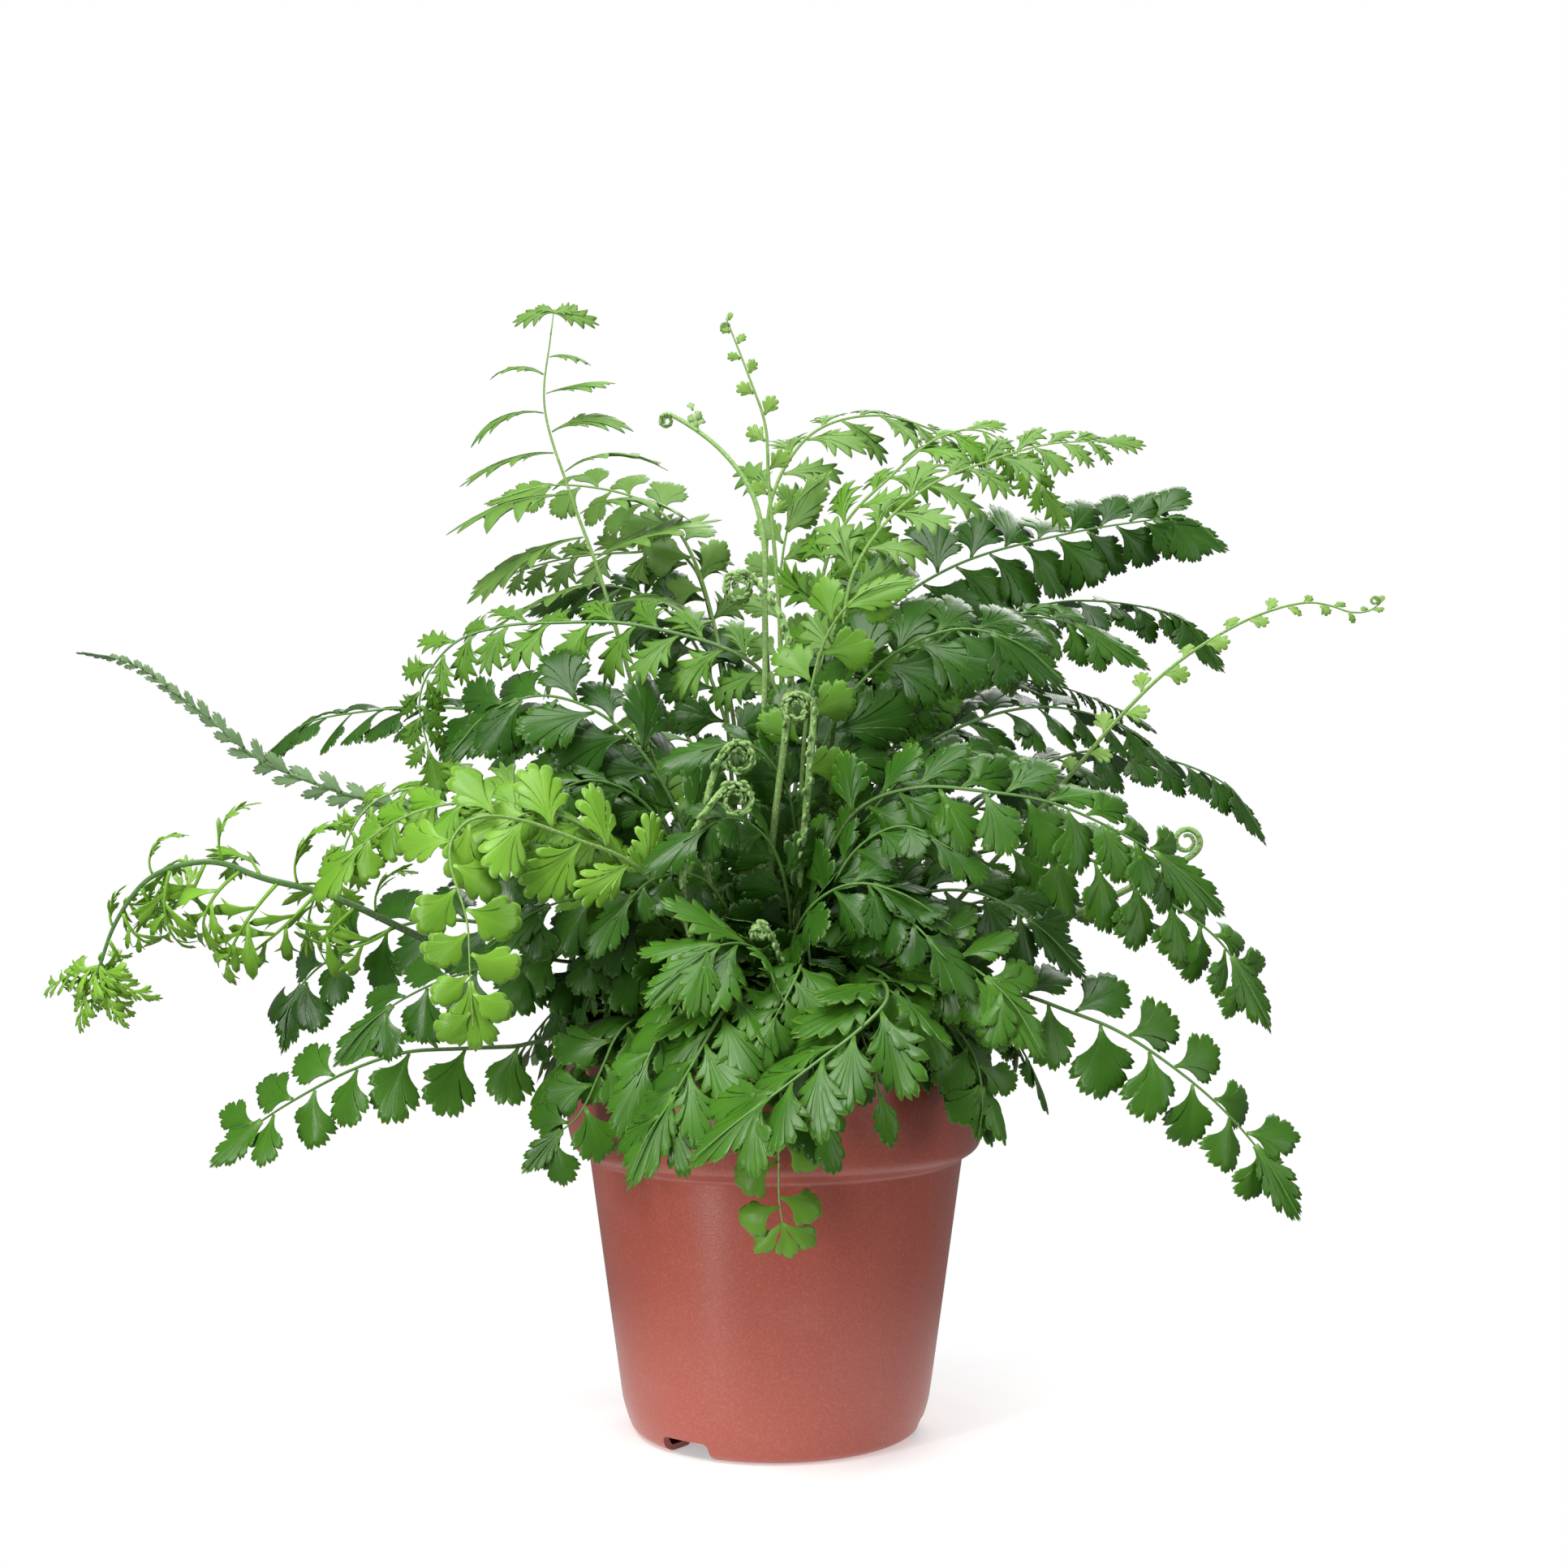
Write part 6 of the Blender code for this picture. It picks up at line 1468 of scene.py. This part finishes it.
def notch_cutter(angle):
    """A low arch across the foot ring, with rounded upper corners."""
    w, h, r = NOTCH_WIDTH / 2, FOOT_HEIGHT + 1.5, 1.8
    outline = [(-w, -3.0)] + [(-w + r - r * math.cos(t), h - r + r * math.sin(t)) for t in (math.pi / 2 * k / 5 for k in range(6))]
    outline += [(w - r + r * math.sin(t), h - r + r * math.cos(t)) for t in (math.pi / 2 * k / 5 for k in range(6))] + [(w, -3.0)]
    a = math.radians(angle)
    out, side = np.array((math.cos(a), math.sin(a), 0.0)), np.array((-math.sin(a), math.cos(a), 0.0))
    n = len(outline)
    verts = [side * x + np.array((0, 0, z)) + out * d for d in (27.0, 55.0) for x, z in outline]
    faces = [tuple(range(n - 1, -1, -1)), tuple(range(n, 2 * n))] + [(k, (k + 1) % n, n + (k + 1) % n, n + k) for k in range(n)]
    buf = Buffer()
    buf.add(verts, faces, 0, [(0, 0, 0, 0)] * len(verts))
    cutter = buf.mesh("notch", [])
    bm = bmesh.new()
    bm.from_mesh(cutter.data)
    bmesh.ops.recalc_face_normals(bm, faces=bm.faces)
    bm.to_mesh(cutter.data)
    bm.free()
    return cutter


def rough_height(x, y):
    return 0.7 * math.sin(x * 0.9 + 1.3 * math.sin(y * 0.7)) + 0.5 * math.sin(y * 1.9 + 1.1 * math.sin(x * 1.3)) + 0.35 * math.sin(x * 3.3 + y * 2.7)


def detail_soil(mat):
    """The root ball: a cone of soil to the pot's wall, with a lumpy top strewn with bark and coir crumbs."""
    rng = random.Random(77)
    buf = Buffer()
    steps, rings = 120, 40
    top = 56.6
    verts, data, faces = [], [], []
    for k in range(rings + 1):
        r = top * (k / rings)
        for m in range(steps):
            a = math.tau * m / steps
            x, y = r * math.cos(a), r * math.sin(a)
            z = SOIL_TOP - 0.8 + 0.8 * rough_height(x * 0.8, y * 0.8) + rng.uniform(-0.25, 0.25) - 2.4 * (r / top) ** 6
            if k == 0:
                z = SOIL_TOP
            verts.append((x, y, z))
            data.append((0, 0, rng.uniform(-0.3, 0.3), 0))
    for k in range(rings):
        for m in range(steps):
            a, b = k * steps + m, k * steps + (m + 1) % steps
            if k == 0:
                faces.append((a + steps, b + steps, 0))
            else:
                faces.append((a, a + steps, b + steps, b))
    edge = rings * steps
    side = [(55.4, 88.2), (50.4, 80.9), (49.9, 76.0), (42.2, 18.6), (39.6, 6.6)]
    for r, z in side:
        for m in range(steps):
            a = math.tau * m / steps
            verts.append((r * math.cos(a), r * math.sin(a), z))
            data.append((0, 0, 0, 0))
    for k in range(len(side)):
        lo, hi = edge + (k + 1) * steps, edge + k * steps
        for m in range(steps):
            faces.append((hi + m, lo + m, lo + (m + 1) % steps, hi + (m + 1) % steps))
    lowest = edge + len(side) * steps
    faces.append(tuple(lowest + m for m in range(steps - 1, -1, -1)))
    # the first ring is one point
    verts_a = np.array(verts, float)
    buf.add(verts_a, faces, 0, data)
    for _ in range(900):
        r = 55.0 * math.sqrt(rng.random())
        a = rng.uniform(0, math.tau)
        x, y = r * math.cos(a), r * math.sin(a)
        z = SOIL_TOP - 0.6 + 0.8 * rough_height(x * 0.8, y * 0.8) - 2.4 * (r / top) ** 6
        crumb(buf, rng, np.array((x, y, z)), rng.uniform(0.6, 1.9), rng.uniform(-0.5, 0.9))
    obj = buf.mesh("root_ball", [mat])
    bm = bmesh.new()
    bm.from_mesh(obj.data)
    loose = [v for v in bm.verts if not v.link_faces]
    bmesh.ops.delete(bm, geom=loose, context="VERTS")
    bm.to_mesh(obj.data)
    bm.free()
    return obj


def crumb(buf, rng, centre, size, tint):
    """An angular crumb: a stretched, jittered block."""
    axes = [unit(np.array([rng.gauss(0, 1) for _ in range(3)]))]
    axes.append(unit(np.cross(axes[0], [rng.gauss(0, 1) for _ in range(3)])))
    axes.append(np.cross(axes[0], axes[1]))
    dims = (size, size * rng.uniform(0.4, 0.8), size * rng.uniform(0.25, 0.6))
    corners = []
    for x in (-1, 1):
        for y in (-1, 1):
            for z in (-1, 1):
                p = centre + axes[0] * x * dims[0] / 2 * rng.uniform(0.6, 1.1) + axes[1] * y * dims[1] / 2 * rng.uniform(0.6, 1.1) + axes[2] * z * dims[2] / 2 * rng.uniform(0.6, 1.1)
                corners.append(p)
    faces = [(0, 1, 3, 2), (4, 6, 7, 5), (0, 4, 5, 1), (2, 3, 7, 6), (0, 2, 6, 4), (1, 5, 7, 3)]
    buf.add(corners, faces, 0, [(0, 0, tint, 0)] * 8)


def detail_crown(mat, scale_mat):
    """The rhizome clump: a knobbly dome thick with brown scales."""
    rng = random.Random(78)
    buf = Buffer()
    steps, rings = 72, 20
    verts, data, faces = [], [], []
    for k in range(rings + 1):
        a = math.pi / 2 * (1 - k / rings)
        for m in range(steps):
            b = math.tau * m / steps
            bulge = 1.0 + 0.03 * math.sin(5 * b + 3 * a) + 0.02 * math.sin(11 * b + 7 * a)
            if k == rings:
                bulge = 1.0
            verts.append((CROWN_RADIUS * math.cos(a) * math.cos(b) * bulge, CROWN_RADIUS * math.cos(a) * math.sin(b) * bulge, SOIL_TOP + SOIL_GAP + (CROWN_HEIGHT - 0.4) * math.sin(a) * bulge))
            data.append((0, 0, rng.uniform(-0.3, 0.3), 0))
    for k in range(rings):
        for m in range(steps):
            p, q = k * steps + m, k * steps + (m + 1) % steps
            if k == 0:
                faces.append((p + steps, q + steps, 0))
            else:
                faces.append((p, p + steps, q + steps, q))
    faces.append(tuple(rings * steps + m for m in range(steps - 1, -1, -1)))
    buf.add(verts, faces, 0, data)
    for _ in range(1500):
        a, b = math.asin(rng.random()), rng.uniform(0, math.tau)
        out = unit(np.array((math.cos(a) * math.cos(b), math.cos(a) * math.sin(b), math.sin(a) * 1.6)))
        foot = np.array((CROWN_RADIUS * math.cos(a) * math.cos(b), CROWN_RADIUS * math.cos(a) * math.sin(b), SOIL_TOP + SOIL_GAP + (CROWN_HEIGHT - 0.5) * math.sin(a)))
        t = unit(np.cross(out, [rng.gauss(0, 1) for _ in range(3)]))
        tip = foot + unit(out * rng.uniform(0.4, 1.0) + t) * rng.uniform(1.2, 3.2)
        w = unit(np.cross(t, out)) * 0.35
        buf.add([foot + w, foot - w, foot + out * 0.25, tip], [(0, 1, 3), (1, 2, 3), (2, 0, 3), (1, 0, 2)], 1, [(0, 0, rng.uniform(0.0, 0.5), 0)] * 4)
    obj = buf.mesh("crown_rhizome", [mat, scale_mat])
    bm = bmesh.new()
    bm.from_mesh(obj.data)
    bmesh.ops.delete(bm, geom=[v for v in bm.verts if not v.link_faces], context="VERTS")
    bm.to_mesh(obj.data)
    bm.free()
    return obj


# ---------------------------------------------------------------- the scene
LEAF_OF = {"round": "lime", "claw": "lime", "young": "young", "fine": "fresh", "fan": "mid", "lobed": "mid", "broad": "dark", "arch": "pale", "narrow": "dark", "edge": "grey"}
LEAF_BY_NAME = {
    "frond_lime_left_fine": "lime", "frond_lime_curled_left": "lime", "frond_lime_front_left": "lime", "frond_hanging_front": "fresh",
    "frond_pale_left": "pale", "frond_pale_middle": "pale", "frond_pale_right": "fresh", "frond_top_middle": "pale", "frond_top_right": "fresh", "frond_top_right_long": "pale",
    "frond_upper_left_fine": "pale", "frond_fine_left": "mid_fine", "frond_left_dark": "dark", "frond_left_dark_drooping": "dark",
    "frond_back_right_high": "dark", "frond_back_right_wavy": "dark", "frond_back_right_thin": "dark", "frond_right_middle": "dark", "frond_left_long": "dark",
    "frond_front_left_low": "dark", "frond_front_middle_dark": "dark", "frond_broad_left": "dark", "frond_left_middle": "dark", "frond_upper_left": "dark", "frond_front_right_short": "dark",
    "frond_right_lit": "mid", "frond_front_middle_long": "mid", "frond_front_left_long": "mid", "frond_front_left_short": "mid", "frond_front_right_low": "mid",
}


def leaf_set():
    return {
        "dark": leaf_material("leaf_dark", (0.013, 0.058, 0.005), (0.046, 0.150, 0.011), (0.055, 0.15, 0.03), (0.12, 0.25, 0.04), 0.29, 0.14, (0.10, 0.32, 0.01)),
        "mid": leaf_material("leaf_mid", (0.022, 0.092, 0.006), (0.078, 0.230, 0.016), (0.10, 0.23, 0.04), (0.18, 0.36, 0.05), 0.31, 0.18, (0.18, 0.44, 0.01)),
        "mid_fine": leaf_material("leaf_mid_fine", (0.050, 0.150, 0.014), (0.140, 0.330, 0.030), (0.16, 0.28, 0.08), (0.22, 0.40, 0.08), 0.38, 0.22, (0.26, 0.5, 0.02)),
        "fresh": leaf_material("leaf_fresh", (0.075, 0.220, 0.018), (0.180, 0.400, 0.035), (0.20, 0.36, 0.09), (0.27, 0.47, 0.09), 0.38, 0.25, (0.32, 0.6, 0.03)),
        "pale": leaf_material("leaf_pale", (0.105, 0.250, 0.040), (0.230, 0.430, 0.085), (0.22, 0.38, 0.12), (0.28, 0.46, 0.13), 0.42, 0.3, (0.38, 0.62, 0.08)),
        "lime": leaf_material("leaf_lime", (0.080, 0.255, 0.012), (0.265, 0.530, 0.050), (0.26, 0.46, 0.08), (0.38, 0.63, 0.15), 0.30, 0.24, (0.40, 0.68, 0.06)),
        "young": leaf_material("leaf_young", (0.170, 0.360, 0.050), (0.340, 0.540, 0.120), (0.30, 0.46, 0.13), (0.38, 0.58, 0.16), 0.45, 0.3, (0.44, 0.66, 0.1)),
        "grey": leaf_material("leaf_grey", (0.100, 0.190, 0.075), (0.200, 0.330, 0.150), (0.21, 0.32, 0.17), (0.26, 0.4, 0.2), 0.5, 0.25, (0.3, 0.44, 0.16)),
    }


def build():
    rows = make_fern()
    leaves = leaf_set()
    stem = stem_material("stem_green", (0.045, 0.045, 0.018), (0.085, 0.21, 0.034))
    stem_pale = stem_material("stem_pale", (0.10, 0.17, 0.04), (0.20, 0.36, 0.08), 0.5)
    stem_dark = stem_material("stem_dark", (0.012, 0.009, 0.006), (0.07, 0.17, 0.035))
    crozier_skin = stem_material("crozier_skin", (0.13, 0.19, 0.05), (0.24, 0.42, 0.12), 1.0)
    bud = leaf_material("crozier_bud", (0.14, 0.29, 0.07), (0.32, 0.50, 0.18), (0.2, 0.34, 0.12), (0.3, 0.45, 0.16), 0.5, 0.15, (0.3, 0.5, 0.1))
    scales = scale_material()
    for number, row in enumerate(rows):
        name = row["name"]
        if row["kind"] == "crozier":
            piece = detail_crozier(row, number).mesh(name + "_detail", [bud, crozier_skin, scales])
        else:
            green = LEAF_BY_NAME.get(name, LEAF_OF[row["kind"]])
            if name.startswith("frond_back_") and name[11:].isdigit():
                green = ("mid", "dark", "fresh", "dark", "mid", "fresh", "dark", "mid")[int(name[11:]) - 1]
            stalk = stem_dark if name in ("frond_lime_curled_left", "frond_left_dark") else stem_pale if green in ("young", "pale", "lime", "fresh") else stem
            piece = detail_frond(row, number).mesh(name + "_detail", [leaves[green], stalk])
        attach(piece, "root")
        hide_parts(name)
    pot = detail_pot(pot_material())
    soil_mat = soil_material()
    soil = detail_soil(soil_mat)
    crown = detail_crown(soil_material("crown_bark", (0.03, 0.018, 0.010), (0.13, 0.08, 0.04)), scales)
    for piece, node in ((pot, "pot"), (soil, "potting_soil"), (crown, "crown")):
        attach(piece, "root")
        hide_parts(node)


def floor_material():
    """White, and fading out well behind and beside the pot, so that no horizon shows."""
    n = Nodes("studio_floor", (0.95, 0.95, 0.95))
    place = n.add("ShaderNodeTexCoord").outputs["Object"]
    away = n.add("ShaderNodeVectorMath", operation="LENGTH", inputs={0: place}).outputs["Value"]
    colour = n.mix(n.noise(2.0), (0.94, 0.94, 0.94), (0.96, 0.96, 0.96))
    shader = n.add("ShaderNodeBsdfPrincipled", inputs={"Base Color": colour, "Roughness": 0.9, "Specular IOR Level": 0.2, "Emission Color": (1, 1, 1, 1), "Emission Strength": 0.35})
    clear = n.add("ShaderNodeBsdfTransparent")
    both = n.add("ShaderNodeMixShader", inputs={0: n.range(away, 0.035, 0.16), 1: shader.outputs[0], 2: clear.outputs[0]})
    n.tree.links.new(both.outputs[0], n.out.inputs[0])
    return n.mat


def stage():
    mesh = bpy.data.meshes.new("studio_floor")
    r = 9.0
    mesh.from_pydata([(r * math.cos(math.tau * k / 64), r * math.sin(math.tau * k / 64), -0.0002) for k in range(64)], [], [tuple(range(64))])
    mesh.materials.append(floor_material())
    floor = bpy.data.objects.new("studio_floor", mesh)
    bpy.context.scene.collection.objects.link(floor)

    scene = bpy.context.scene
    world = bpy.data.worlds.new("studio")
    world.use_nodes = True
    tree = world.node_tree
    ground = tree.nodes["Background"]
    # the backdrop is white, and lights the plant less than it shows
    ray = tree.nodes.new("ShaderNodeLightPath")
    strength = tree.nodes.new("ShaderNodeMapRange")
    strength.inputs["To Min"].default_value, strength.inputs["To Max"].default_value = 0.23, 1.0
    tree.links.new(ray.outputs["Is Camera Ray"], strength.inputs["Value"])
    tree.links.new(strength.outputs[0], ground.inputs["Strength"])
    ground.inputs["Color"].default_value = (1.0, 1.0, 1.0, 1.0)
    scene.world = world
    scene.view_settings.view_transform = "Standard"
    scene.view_settings.look = "None"

    def softbox(name, place, target, width, height, power, colour=(1, 1, 1)):
        light = bpy.data.lights.new(name, "AREA")
        light.shape = "RECTANGLE"
        light.size, light.size_y = width, height
        light.energy = power
        light.color = colour
        obj = bpy.data.objects.new(name, light)
        obj.location = place
        obj.rotation_euler = (Vector(target) - Vector(place)).to_track_quat("-Z", "Y").to_euler()
        scene.collection.objects.link(obj)

    softbox("key", (-0.42, -0.72, 1.2), (0, 0, 0.16), 0.5, 0.5, 12.5, (1.0, 0.99, 0.97))
    softbox("strip", (-0.66, -0.80, 0.16), (0, 0, 0.09), 0.09, 0.9, 7.0)
    softbox("top", (0.05, -0.15, 1.3), (0, 0, 0.2), 0.9, 0.9, 12.5)
    softbox("fill", (0.95, -0.6, 0.4), (0, 0, 0.15), 0.5, 0.9, 3.4)
    softbox("rim", (0.3, 1.1, 0.9), (0, 0, 0.2), 0.9, 0.7, 8.0)

    camera = bpy.data.cameras.new("camera")
    camera.lens = 55.0
    camera.sensor_width = 36.0
    camera.clip_start = 0.01
    cam = bpy.data.objects.new("camera", camera)
    cam.location = (0.0023, -0.683, 0.183)
    cam.rotation_euler = (math.radians(90), 0.0, 0.0)
    scene.collection.objects.link(cam)
    scene.camera = cam


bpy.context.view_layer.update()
stage()
build()
